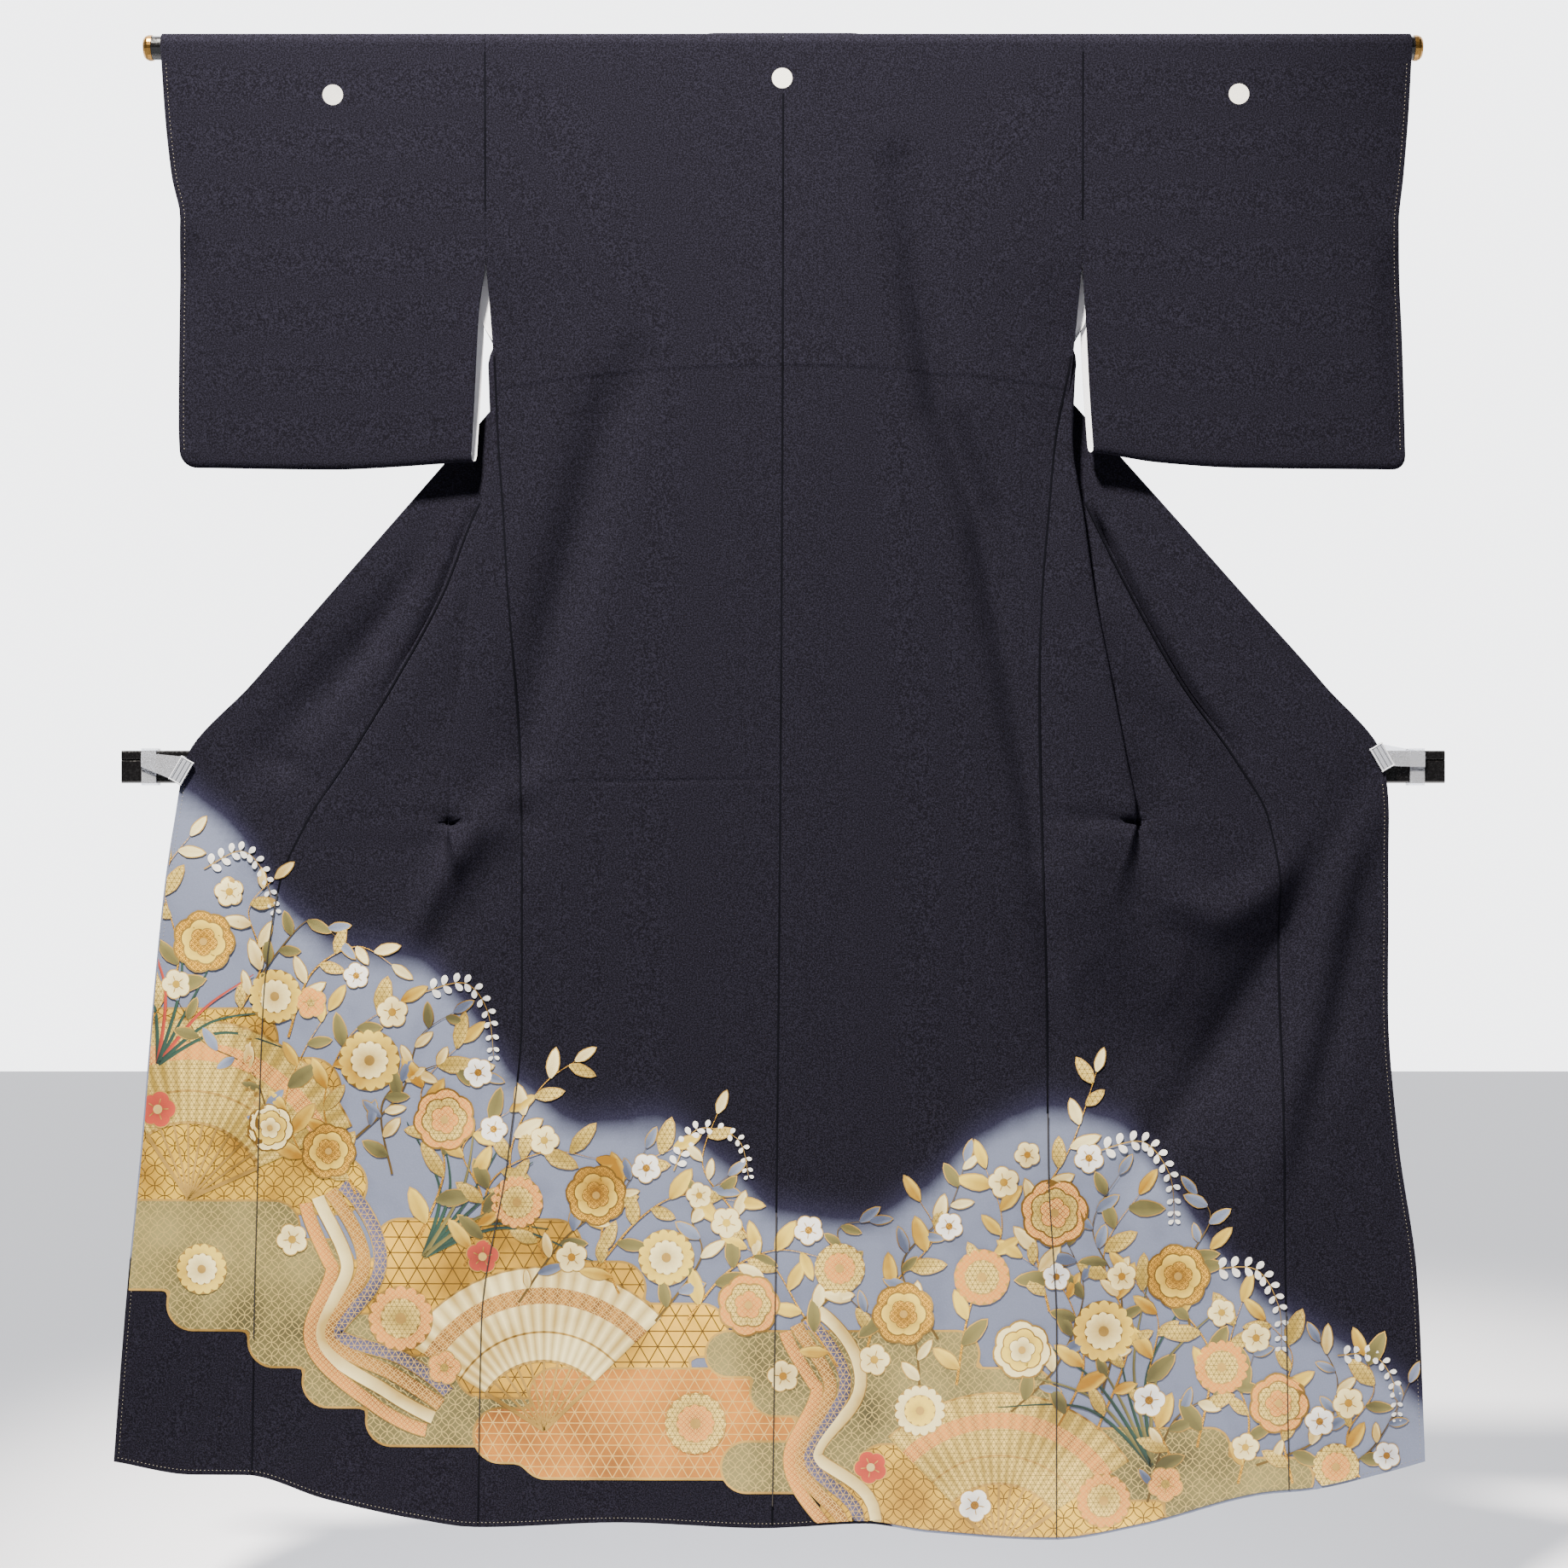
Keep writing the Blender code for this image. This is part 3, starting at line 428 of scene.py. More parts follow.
def sewnEdge(seam, share=1.0, reach=tuck["reach"], under=tuck["under"]):
    # an edge that dips under its neighbour: three places from beyond the seam back to the panel
    away, y = seam
    behind = tuck["behind"] * share
    past, deep = tuck["middle"]
    return [(away - under, y + behind), (away + past, y + behind * deep), (away + reach, y)]


def frontRow(side, drop):
    # the front from the side seam: out to the pleat's edge, back in to the hidden crease and out
    # again behind both; each direction is an angle, 0 outwards and pi inwards
    gap = cloth["seamGap"] / 2
    opening = drop - cloth["openingEnd"]
    past = drop - cloth["pleatEnd"][side]
    turned = smooth(*pleat["turns"], drop)
    pleated = smooth(*pleat["begins"], opening)
    opened = smooth(*pleat["closes"], past)
    seamGap = gap * (2.0 * smooth(*pleat["gapTurns"], opening) - 1.0)
    shows = pleat["sideShows"] * window(*pleat["shows"], drop)
    seam = (outOf(side, "side", drop) + seamGap + shows, depthOf("front", drop))
    okumi = (outOf(side, "okumi", drop) - gap * smooth(cloth["kensaki"] - 30, cloth["kensaki"], drop),
             depthOf("okumi", drop) + cloth["turnBulge"] * math.sin(math.pi * turned))
    leg1 = math.pi * (1.0 - pleated)
    leg2 = math.pi * (1.0 - opened)
    leg3 = math.pi * (1.0 - turned)
    fold = max(outOf(side, "fold", drop) - bendRadius, seam[0] + cloth["foldLeast"] / 2)
    if opened < 1.0:
        edge = bend((blend(seam[0] - pleat["start"], fold, pleated),
                     seam[1] + cloth["turnBulge"] * math.sin(math.pi * pleated)), leg1, leg2)
        crease = cloth["foldTop"] + cloth["pleatSlope"][side] * drop + bendRadius
        crease = blend(crease, okumi[0] + 2 * bendRadius + cloth["foldLeast"], 1.0 - turned)
        crease = blend(crease, edge[-1][0] - cloth["foldLeast"], smooth(*pleat["nears"], past))
        creaseY = depthOf("turn", drop) - bendRadius
        turn = bend((crease, creaseY), leg2, leg3)
        press = pressed["by"][side] * window(*pressed["between"], drop)
        beyond = []
        for away, y in spread(turn[-1], okumi, frontCounts["beyond"]):
            near = math.exp(-((away - fold) / pressed["reach"]) ** 2)
            near *= smooth(0, pressed["ends"][0], okumi[0] - away)
            near *= smooth(0, pressed["ends"][1], away - turn[-1][0])
            beyond.append((away, y - press * near))
        row = (spread(seam, edge[0], frontCounts["beside"])[:-1] + edge
               + spread(edge[-1], turn[0], frontCounts["behind"])[1:-1] + turn + beyond[1:])
    if opened > 0.0:
        below = stepRow(seam, okumi, fold + bendRadius, past)
        row = below if opened == 1.0 else mixRows(row, below, opened)
    row = liftedEdge(side, drop, row, okumi)
    sewn = smooth(*pleat["sewn"], opening)
    reach = min(tuck["reach"], 0.4 * (row[frontCounts["beside"] - 1][0] - seam[0]))
    return mixRows(row[:3], sewnEdge(seam, 1.0, reach), sewn) + row[3:]


# the front panel stands proud of the overlap panel beside their seam, between these drops; how far
# from the seam it rises, and the places of its step down
proud = {"left": {"lift": 2.5, "between": (470, 620, 760, 900)},
         "right": {"lift": 8.0, "between": (440, 540, 690, 860)},
         "rises": (80, 12), "least": 0.05, "step": (5.0, 1.0), "low": 0.35}


def liftedEdge(side, drop, row, okumi):
    lift = proud[side]["lift"] * window(*proud[side]["between"], drop)
    if lift < proud["least"]:
        return row
    raised = row[:-3]
    far, near = proud["rises"]
    for i in range(len(raised) - frontCounts["beyond"] + 4, len(raised)):
        away, y = raised[i]
        raised[i] = (away, y - lift * smooth(okumi[0] - far, okumi[0] - near, away))
    y = okumi[1] - lift
    upper, lower = [okumi[0] - back for back in proud["step"]]
    return raised + [(upper, y), (lower, y + lift * proud["low"]), okumi]


def stepRow(seam, okumi, fold, past):
    # below the pleat its step widens into a slope and fades
    middle = frontCounts["behind"] + 2 * cloth["bendSteps"] - 1
    even = smooth(0, pleat["fades"][1], past)
    reach = blend(pleat["narrow"], pleat["wide"], even)
    start, end = fold - reach / 2, fold + reach / 2
    fade = 1.0 - smooth(*pleat["fades"], past)
    gathered = (evenly(seam[0], start, frontCounts["beside"])[:-1] + evenly(start, end, middle)
                + evenly(end, okumi[0], frontCounts["beyond"])[1:])
    row = []
    for near, far in zip(gathered, evenly(seam[0], okumi[0], len(gathered))):
        away = blend(near, far, even)
        line = seam[1] + (okumi[1] - seam[1]) * (away - seam[0]) / (okumi[0] - seam[0])
        row.append((away, blend(line, blend(seam[1], okumi[1], smooth(start, end, away)), fade)))
    return row


backCounts = {"outside": 26, "neck": 9}


def backRow(side, drop):
    edge = outOf(side, "side", drop) - cloth["seamGap"] / 2
    inner = signOf(side) * centreOf(drop) + cloth["seamGap"] / 2
    places = evenly(edge, cloth["neckHalf"], backCounts["outside"])
    places += evenly(cloth["neckHalf"], inner, backCounts["neck"])[1:]
    row = [(away, -wrap + (depthOf("back", drop) + wrap) * max(0.0, away / edge) ** 3) for away in places]
    if side == "right" and drop > 0:
        row[-3:] = reversed(sewnEdge((inner, row[-1][1]), smooth(20, 60, drop)))
    return row


def shoulderRow(side, places, angle):
    turn = math.radians(angle)
    return [place(signOf(side) * away, wrap * math.cos(turn), -wrap * math.sin(turn)) for away in places]


# drops where the rows change, the last two past the pleat's end; and their gaps, smaller over the
# rod, at the collar and where the pleat runs out
rowAt = {"first": 40, "turn": 100, "pleat": 330, "end": (-32, 60), "creases": (-75, -25)}
rowGap = {"angle": 7.5, "turn": 5.5, "end": 4.0, "usual": 9.0}


def rowDrops(side):
    first, last = [cloth["pleatEnd"][side] + past for past in rowAt["end"]]
    return (steps(rowAt["pleat"], first, rowGap["usual"])[:-1] + steps(first, last, rowGap["end"])
            + steps(last, cloth["hemLevel"], rowGap["usual"])[1:])


def creaseWeight(side, drop):
    # the creases begin where the pleat runs out
    return smooth(*rowAt["creases"], drop - cloth["pleatEnd"][side])


# a sewn tuck across the back: its drop at the centre, how much lower it lies at the sides, its step
# and its rows; a pressed line lower down at the left has close rows too
backTuck = {"drop": 352.0, "sag": 25.0, "reach": 45.0, "step": 0.4, "steps": (300, 345, 351.0, 352.6),
            "rows": (343.5, 348.0, 351.0, 352.6, 355.0, 360.0), "apart": 4}
pressedRows = [drop + 0.3 for drop in range(800, 816, 2)]


def tuckDrop(side, away, drop):
    near = math.exp(-((drop - backTuck["drop"]) / backTuck["reach"]) ** 2)
    return drop + backTuck["sag"] * near * min(1.0, away / outOf(side, "side", drop)) ** 2


def makeBody(side, materials):
    sheet = Sheet("silk_body_" + side)
    level = rowDrops(side)
    rows = []
    highest = backTuck["rows"][0] - backTuck["apart"]
    lowest = backTuck["rows"][-1] + backTuck["apart"]
    backLevel = [drop for drop in steps(rowAt["first"], rowAt["pleat"], rowGap["usual"])[:-1] + level
                 if not highest < drop < lowest]
    backLevel += pressedRows if side == "left" else []
    for drop in reversed(sorted(backLevel + list(backTuck["rows"]))):
        proudBy = backTuck["step"] * window(*backTuck["steps"], drop)
        rows.append(sheet.row([sheetPlace(side, away, y - proudBy, tuckDrop(side, away, drop))
                               for away, y in backRow(side, drop)]))
    places = [away for away, y in backRow(side, 0)]
    for angle in steps(180, 90, rowGap["angle"]):
        rows.append(sheet.row(shoulderRow(side, places, angle)))
    sheet.joinAll(rows)
    outside = backCounts["outside"]
    front = [rows[-1][:outside]]
    for angle in steps(90, 0, rowGap["angle"])[1:]:
        front.append(sheet.row(shoulderRow(side, places[:outside], angle)))
    upper = steps(rowAt["first"], rowAt["turn"], rowGap["usual"])[:-1]
    upper += steps(rowAt["turn"], rowAt["pleat"], rowGap["turn"])[:-1]
    for drop in upper + level:
        points = frontRow(side, drop)
        if drop < rowAt["turn"]:
            points = spread(points[0], points[-1], outside)
        fade = creaseWeight(side, drop)
        weights = [fade] * len(points)
        for i in range(frontCounts["beside"]):
            weights[i] = max(fade, 1.0 - smooth(0, 30, points[i][0] - points[0][0]))
        front.append(sheet.row([sheetPlace(side, away, y, drop) for away, y in points], weights))
    sheet.joinAll(front)
    return sheet.finish(cloth["wall"], (0, -1, 0), materials)


# the overlap panel sinks into a groove beside its seam: between which drops, its depth and width
overlap = {
    "columns": 19,
    "least": 0.4,             # its width at the point
    "sewn": (10, 60),         # drops below the point
    "creases": (25, 60),      # from the seam
    "left": {"between": (500, 560, 640, 760), "depth": 4.0, "width": 7.0},
    "right": {"between": (500, 545, 680, 800), "depth": 15.0, "width": 10.0},
}


def grooved(side, drop, row):
    groove = overlap[side]
    depth = groove["depth"] * window(*groove["between"], drop)
    start, end = row[0], row[-1]
    width = min(groove["width"], 0.3 * (end[0] - start[0]))
    slope = (end[1] - start[1]) / max(1.0, end[0] - start[0])
    far = (start[0] + width + 2.5, start[1] + slope * (width + 2.5))
    near = [(start[0] + width * share, start[1] + depth) for share in (0.25, 0.5, 0.8)]
    return [start] + near + spread(far, end, len(row) - 4)


def makeOkumi(side, materials):
    # the overlap panel, from its point at the collar to the hem
    sheet = Sheet("silk_okumi_" + side)
    gap = cloth["seamGap"] / 2
    rows = []
    upper = steps(cloth["kensaki"], rowAt["pleat"], rowGap["turn"])[:-1]
    for drop in upper + steps(rowAt["pleat"], cloth["hemLevel"], rowGap["usual"]):
        start = (outOf(side, "okumi", drop) + gap, depthOf("okumi", drop))
        end = (max(outOf(side, "edge", drop), start[0] + overlap["least"]), depthOf("edge", drop))
        fade = creaseWeight(side, drop)
        row = grooved(side, drop, spread(start, end, overlap["columns"]))
        sewn = smooth(*overlap["sewn"], drop - cloth["kensaki"])
        seam = sewnEdge(start, under=tuck["okumiUnder"])
        row[:3] = mixRows(row[:3], seam[:2] + [(seam[2][0], row[2][1])], sewn)
        weights = [max(fade, smooth(*overlap["creases"], away - start[0])) for away, y in row]
        rows.append(sheet.row([sheetPlace(side, away, y, drop) for away, y in row], weights))
    sheet.joinAll(rows)
    return sheet.finish(cloth["wall"], (0, -1, 0), materials)


sleeve = {
    "cuff": {"left": [(0, 683), (80, 678), (145, 671), (190, 662), (230, 663), (417, 665), (464, 663)],
             "right": [(0, 690), (80, 686), (145, 681), (199, 676), (258, 678), (323, 681), (464, 685)]},
    "inner": {"left": [(0, 327), (235, 327), (290, 334), (380, 339), (464, 344)],
              "right": [(0, 329), (235, 329), (305, 333), (380, 337), (464, 343)]},
    "bottom": {"left": [(343, 456), (440, 462), (496, 464), (665, 462)],
               "right": [(343, 446), (406, 456), (500, 462), (685, 464)]},
    "opening": {"left": 190.0, "right": 199.0},
    "corner": {"left": 17.0, "right": 13.0},
    "pinch": 3.6,             # half the sleeve's depth at its bottom
    "cuffPinch": 2.4,
    "farShows": (5.5, 90),    # the far layer reaches this much further in, below the armhole's end
    "rounds": 0.6,
    "sewn": (0.9, 70),        # from this share across, and this far below the opening
    "rows": 44,
    "between": (0.09, 0.985),                                           # the rows' shares of the drop
    "columns": 38,
    "wrist": (0.94, 0.955, 0.968, 0.979, 0.988, 0.994, 0.998, 1.0),     # closer at the corner
    "bottomAngles": (25, 55, 90, 125, 155),
}


def sleevePlace(side, share, fraction, near):
    # share runs from the free inner edge to the wrist, fraction from the rod to the bottom
    inner = sleeve["inner"][side]
    cuff = sleeve["cuff"][side]
    bottom = readLine(sleeve["bottom"][side], blend(inner[0][1], cuff[0][1], share))
    radius = sleeve["corner"][side]
    fromCuff = min(radius, (1.0 - share) * (cuff[-1][1] - inner[-1][1]))
    rise = radius - math.sqrt(max(0.0, radius ** 2 - (radius - fromCuff) ** 2))
    drop = fraction * bottom - rise * smooth(sleeve["rounds"], 1.0, fraction)
    start = readLine(inner, drop) + cloth["seamGap"] / 2
    if not near:
        further, below = sleeve["farShows"]
        start -= further * smooth(cloth["sleeveJoin"], cloth["sleeveJoin"] + below, drop)
    away = blend(start, readLine(cuff, drop), share)
    half = blend(wrap, sleeve["pinch"], min(1.0, drop / bottom))
    across, below = sleeve["sewn"]
    opening = sleeve["opening"][side]
    sewn = smooth(across, 1.0, share) * smooth(opening, opening + below, drop)
    return away, blend(half, sleeve["cuffPinch"], sewn), drop


def outwardOf(sheet, face):
    # away from the rod's axis, for a face on the rod
    middle = Vector([sum(sheet.points[i][k] for i in face) / len(face) for k in range(3)])
    return (0, middle.y, middle.z)


def makeSleeve(side, materials):
    sheet = Sheet("silk_sleeve_" + side)
    low = sleeve["bottom"][side][-1][1]
    opening = sleeve["opening"][side] / low
    first, last = sleeve["between"]
    upper = steps(first, opening, 1 / sleeve["rows"])
    fractions = upper + steps(opening, last, 1 / sleeve["rows"])[1:]
    corner, *closer = sleeve["wrist"]
    shares = steps(0.0, corner, 1 / sleeve["columns"]) + closer
    angles = steps(0, 180, rowGap["angle"])
    rows = []
    for share in shares:
        loop = []
        top = sleevePlace(side, share, 0.0, True)[0]
        for angle in angles:
            loop += shoulderRow(side, [top], angle)
        for fraction in fractions:
            away, half, drop = sleevePlace(side, share, fraction, True)
            loop.append(place(signOf(side) * away, -half, drop))
        away, half, drop = sleevePlace(side, share, 1.0, True)
        farAway = sleevePlace(side, share, 1.0, False)[0]
        for angle in sleeve["bottomAngles"]:
            turn = math.radians(angle)
            x = signOf(side) * blend(away, farAway, angle / 180)
            loop.append(place(x, -half * math.cos(turn), drop - half * (1 - math.sin(turn))))
        for fraction in reversed(fractions):
            away, half, drop = sleevePlace(side, share, fraction, False)
            loop.append(place(signOf(side) * away, half, drop))
        rows.append(sheet.row(loop))
    sheet.joinAll([row + row[:1] for row in rows])
    # the wrist edge is sewn from the opening down
    wrist = rows[-1]
    start = len(angles) + len(upper) - 1
    lowest = len(angles) + len(fractions) + 2
    for i in range(start, lowest):
        a, b = i, i + 1
        c, d = 2 * lowest - b, 2 * lowest - a
        corners = (a, b, c, d) if b < lowest else (a, b, d)
        sheet.faces.append(tuple(wrist[k] for k in corners))
    return sheet.finish(cloth["wall"], outwardOf(sheet, sheet.faces[0]), materials)


collar = {
    "widths": (56.0, 75.0),   # at the neck and at the ends
    "behind": 3.4,
    "covers": 1.8,            # how far the band laps over the panel's edge at the chest
    "wrap": (cloth["rod"] + cloth["clear"] + 1.4) / math.cos(math.radians(20)),
    # sewn edge out and down, free edge out and down, along the cloth from the rod's top
    "turn": [(0, 0.9, 0, 57), (30, 0.9, 17, 57), (56, 0.9, 29, 57.5), (76, 0.9, 36, 59),
             (87.7, 6, 40, 61.5), (87.7, 13, 41.5, 64), (87.7, 22, 42.3, 68), (87.7, 33, 42.6, 74),
             (87.7, 44, 42.6, 81)],
    "leans": (-52.0, -49.0),
    # drops: the band leaves the rod and turns down, nears the panel and its edge, laps over the edge,
    # widens to its end, and follows the creases of the panel that it is sewn to
    "leaves": (45, 100),
    "turns": (45, 160),
    "nears": (160, 240),
    "meets": (100, 160),
    "laps": (100, 150, 330, 420),
    "widens": (300, 784.0),
    "creases": (340, 440),
    "columns": 13,
    "rowGaps": (29, 39),
    "finer": 3,
}


def collarPlace(away, down, behind):
    quarter = math.pi / 2 * collar["wrap"]
    if down < quarter:
        turn = math.pi / 2 - down / collar["wrap"]
        return place(away, collar["wrap"] * math.cos(turn), -collar["wrap"] * math.sin(turn))
    return place(away, behind, down - quarter)


def collarRows(side):
    rows = [row + (collar["wrap"],) for row in collar["turn"]]
    quarter = math.pi / 2 * collar["wrap"]
    first, turned = collar["turns"]
    end = collar["widens"][1]
    upper, lower = collar["rowGaps"]
    turning = depthOf("edge", turned) + collar["behind"] + cloth["turnBulge"]
    for drop in steps(first, turned, upper)[1:] + steps(turned, end, lower)[1:]:
        behind = blend(collar["wrap"], turning, smooth(*collar["leaves"], drop))
        behind += (depthOf("edge", drop) + collar["behind"] - turning) * smooth(*collar["nears"], drop)
        lean = math.radians(blend(*collar["leans"], smooth(*collar["turns"], drop)))
        width = blend(*collar["widths"], smooth(*collar["widens"], drop))
        away = outOf(side, "edge", drop) - cloth["seamGap"] * (1.0 - smooth(*collar["meets"], drop))
        away += collar["covers"] * window(*collar["laps"], drop)
        down = drop + quarter
        rows.append((away, down, away + width * math.sin(lean), down + width * math.cos(lean), behind))
    # finer rows between these
    fine = []
    for i in range((len(rows) - 1) * collar["finer"] + 1):
        at = i / collar["finer"]
        fine.append(tuple(readLine([(k, row[c]) for k, row in enumerate(rows)], at) for c in range(5)))
    return fine


def makeCollar(materials):
    sheet = Sheet("silk_collar")
    band = []
    for side in sides:
        lines = []
        for sewnOut, sewnDown, freeOut, freeDown, behind in collarRows(side):
            lines.append([collarPlace(signOf(side) * blend(sewnOut, freeOut, share),
                                      blend(sewnDown, freeDown, share), behind)
                          for share in steps(0.0, 1.0, 1 / collar["columns"])])
        band = list(reversed(lines)) if side == "left" else band + lines[1:]
    rows = [sheet.row(line, [smooth(*collar["creases"], -z / mm) for x, y, z in line]) for line in band]
    sheet.joinAll(rows)
    return sheet.finish(cloth["collarWall"], (0, 1, 0), materials)


def hexColour(text):
    # sRGB hex to linear
    values = [int(text[i:i + 2], 16) / 255 for i in (1, 3, 5)]
    return tuple(v / 12.92 if v <= 0.04045 else ((v + 0.055) / 1.055) ** 2.4 for v in values) + (1.0,)


def newMaterial(name, colour, roughness, metallic=0.0, sheen=0.0, coat=0.0):
    material = bpy.data.materials.new(name)
    material.use_nodes = True
    shader = material.node_tree.nodes["Principled BSDF"]
    for socket, value in (("Base Color", hexColour(colour)), ("Roughness", roughness), ("Metallic", metallic),
                          ("Sheen Weight", sheen), ("Coat Weight", coat)):
        shader.inputs[socket].default_value = value
    material.diffuse_color = hexColour(colour)
    return material, shader


def addNode(material, kind, settings=None, links=None):
    # settings are attributes or input values; links are (node, output) pairs by input
    node = material.node_tree.nodes.new(kind)
    for key, value in (settings or {}).items():
        if isinstance(key, str) and hasattr(node, key):
            setattr(node, key, value)
        else:
            node.inputs[key].default_value = value
    for key, source in (links or {}).items():
        connect(material, source, node, key)
    return node


def connect(material, source, target, socket):
    material.node_tree.links.new(source[0].outputs[source[1]], target.inputs[socket])


# The functions below give a (node, output) pair.
def objectCoords(material):
    return addNode(material, "ShaderNodeTexCoord"), "Object"


def attribute(material, name):
    return addNode(material, "ShaderNodeAttribute", {"attribute_name": name}), "Fac"


def noise(material, coords, scale, detail, roughness=0.5):
    settings = {"Scale": scale, "Detail": detail, "Roughness": roughness}
    return addNode(material, "ShaderNodeTexNoise", settings, {"Vector": coords}), "Fac"


def ranged(material, value, low, high, start=0.0, end=1.0):
    settings = {"From Min": low, "From Max": high, "To Min": start, "To Max": end}
    return addNode(material, "ShaderNodeMapRange", settings, {"Value": value}), "Result"


def mathNode(material, operation, *values, clamped=False):
    # each value is a number or a pair
    settings, links = {"operation": operation, "use_clamp": clamped}, {}
    for i, value in enumerate(values):
        (links if isinstance(value, tuple) else settings)[i] = value
    return addNode(material, "ShaderNodeMath", settings, links), "Value"


def mixed(material, share, dark, light, way="MIX"):
    # the share is a number or a pair, each colour is hex or a pair
    settings, links = {"data_type": "RGBA", "blend_type": way}, {}
    (links if isinstance(share, tuple) else settings)[0] = share
    for key, colour in ((6, dark), (7, light)):
        if isinstance(colour, str):
            settings[key] = hexColour(colour)
        else:
            links[key] = colour
    return addNode(material, "ShaderNodeMix", settings, links), 2


def addBump(material, shader, height, strength, distance):
    settings = {"Strength": strength, "Distance": distance}
    bump = addNode(material, "ShaderNodeBump", settings, {"Height": height})
    connect(material, (bump, "Normal"), shader, "Normal")


# Black kinsha crepe: matt silk with a very fine pebbled grain. The grain of about 0.4 mm is drawn
# coarser, with flecks of about 0.9 mm, so that it shows in the render.
crepe = {"colour": "#121116", "fleck": "#23222c", "haze": "#6a7184", "hazeDeep": "#1a1a2a",
         "grain": 1.5, "slub": 5.0, "mottle": 60.0}


def makeCrepe():
    material, shader = newMaterial("black_silk_crepe", crepe["colour"], 0.85)
    shader.inputs["Specular IOR Level"].default_value = 0.0
    coords = objectCoords(material)
    grain = noise(material, coords, 1 / (crepe["grain"] * mm), 2.0, 0.6)
    slubs = addNode(material, "ShaderNodeMapping", {"Scale": (0.18, 1.0, 1.0)}, {"Vector": coords})
    slub = noise(material, (slubs, "Vector"), 1 / (crepe["slub"] * mm), 3.0)
    mottle = noise(material, coords, 1 / (crepe["mottle"] * mm), 2.0)
    base = mixed(material, ranged(material, grain, 0.42, 0.66), crepe["colour"], crepe["fleck"])
    dyed = attribute(material, "haze")
    uneven = ranged(material, mottle, 0.3, 0.7, -0.10, 0.10)
    sprayed = mathNode(material, "ADD", dyed, uneven, clamped=True)
    level = mathNode(material, "MULTIPLY", sprayed, dyed, clamped=True)
    ramp = addNode(material, "ShaderNodeValToRGB", {}, {"Fac": level})
    ramp.color_ramp.elements[0].color = (0, 0, 0, 1)
    ramp.color_ramp.elements[1].color = hexColour(crepe["haze"])
    ramp.color_ramp.elements.new(0.42).color = hexColour(crepe["hazeDeep"])
    painted = mixed(material, 1.0, base, (ramp, "Color"), "ADD")
    connect(material, painted, shader, "Base Color")
    addBump(material, shader, mathNode(material, "MULTIPLY_ADD", slub, 0.5, grain), 0.35, 0.0003)
    return material


# White silk lining: plain weave, smooth and a little glossy.
def makeLining():
    material, shader = newMaterial("white_silk_lining", "#e9e9ee", 0.5, sheen=0.15)
    weave = noise(material, objectCoords(material), 700.0, 2.0)
    connect(material, mixed(material, weave, "#dfe0e8", "#f3f3f5"), shader, "Base Color")
    addBump(material, shader, weave, 0.2, 0.0002)
    return material


silkCrepe = makeCrepe()
silkLining = makeLining()
cutPieces = {}
for side in sides:
    cutPieces["body_" + side] = makeBody(side, [silkCrepe, silkLining])
    cutPieces["okumi_" + side] = makeOkumi(side, [silkCrepe, silkLining])
    cutPieces["sleeve_" + side] = makeSleeve(side, [silkCrepe, silkLining])
cutPieces["collar"] = makeCollar([silkCrepe, silkCrepe])
print("cloth:", sum(len(piece.data.polygons) for piece in cutPieces.values()), "faces before their walls")

# Flat sizes of the cut pieces in metres: the bolt's width as sewn, and the length.
cuts = {
    "body": {"width": 0.365, "length": 3.26, "area": 1.02, "rests": ["rod"]},
    "okumi": {"width": 0.16, "length": 1.42, "area": 0.19, "rests": []},
    "sleeve": {"width": 0.352, "length": 0.955, "area": 0.334, "rests": ["rod"]},
    "collar": {"width": 0.076, "length": 2.12, "area": 0.14, "rests": ["rod"]},
}


def measuredArea(piece):
    return sum(face.area for face in piece.data.polygons)


for name, piece in cutPieces.items():
    kind = name.split("_")[0]
    print("area", name, round(measuredArea(piece), 4))
    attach(piece, "root")
    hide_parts(name)
    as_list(cuts[kind]["rests"])


# The drawing is flat at first: shapes are gathered by colour as x, drop, height over the cloth and
# tone, and are laid on the cloth at the end.
drawing = {}
layer = {"plainSeamPaintedShade": 0.06, "cloud": 0.15, "cloudStep": 0.06, "fan": 0.66, "stem": 0.76, "leaf": 0.86,
         "flower": 0.98, "line": 0.05, "seam": 1.75}
artEdge = {"hem": 3.0, "front": 2.0, "cell": 5.0}
chance = random.Random(23)


def draw(colour, points, faces):
    store = drawing.setdefault(colour, {"points": [], "faces": []})
    first = len(store["points"])
    store["points"] += points
    store["faces"] += [tuple(first + i for i in face) for face in faces]


def softLeast(a, b, width):
    share = np.clip(0.5 + 0.5 * (b - a) / width, 0.0, 1.0)
    return b * (1.0 - share) + a * share - width * share * (1.0 - share)


def cloudField(bands, x, drop):
    # below zero inside the cloud
    total = None
    for start, end, level, radius in bands:
        gap = np.hypot(x - np.clip(x, start, end), drop - level) - radius
        total = gap if total is None else softLeast(total, gap, 9.0)
    return total


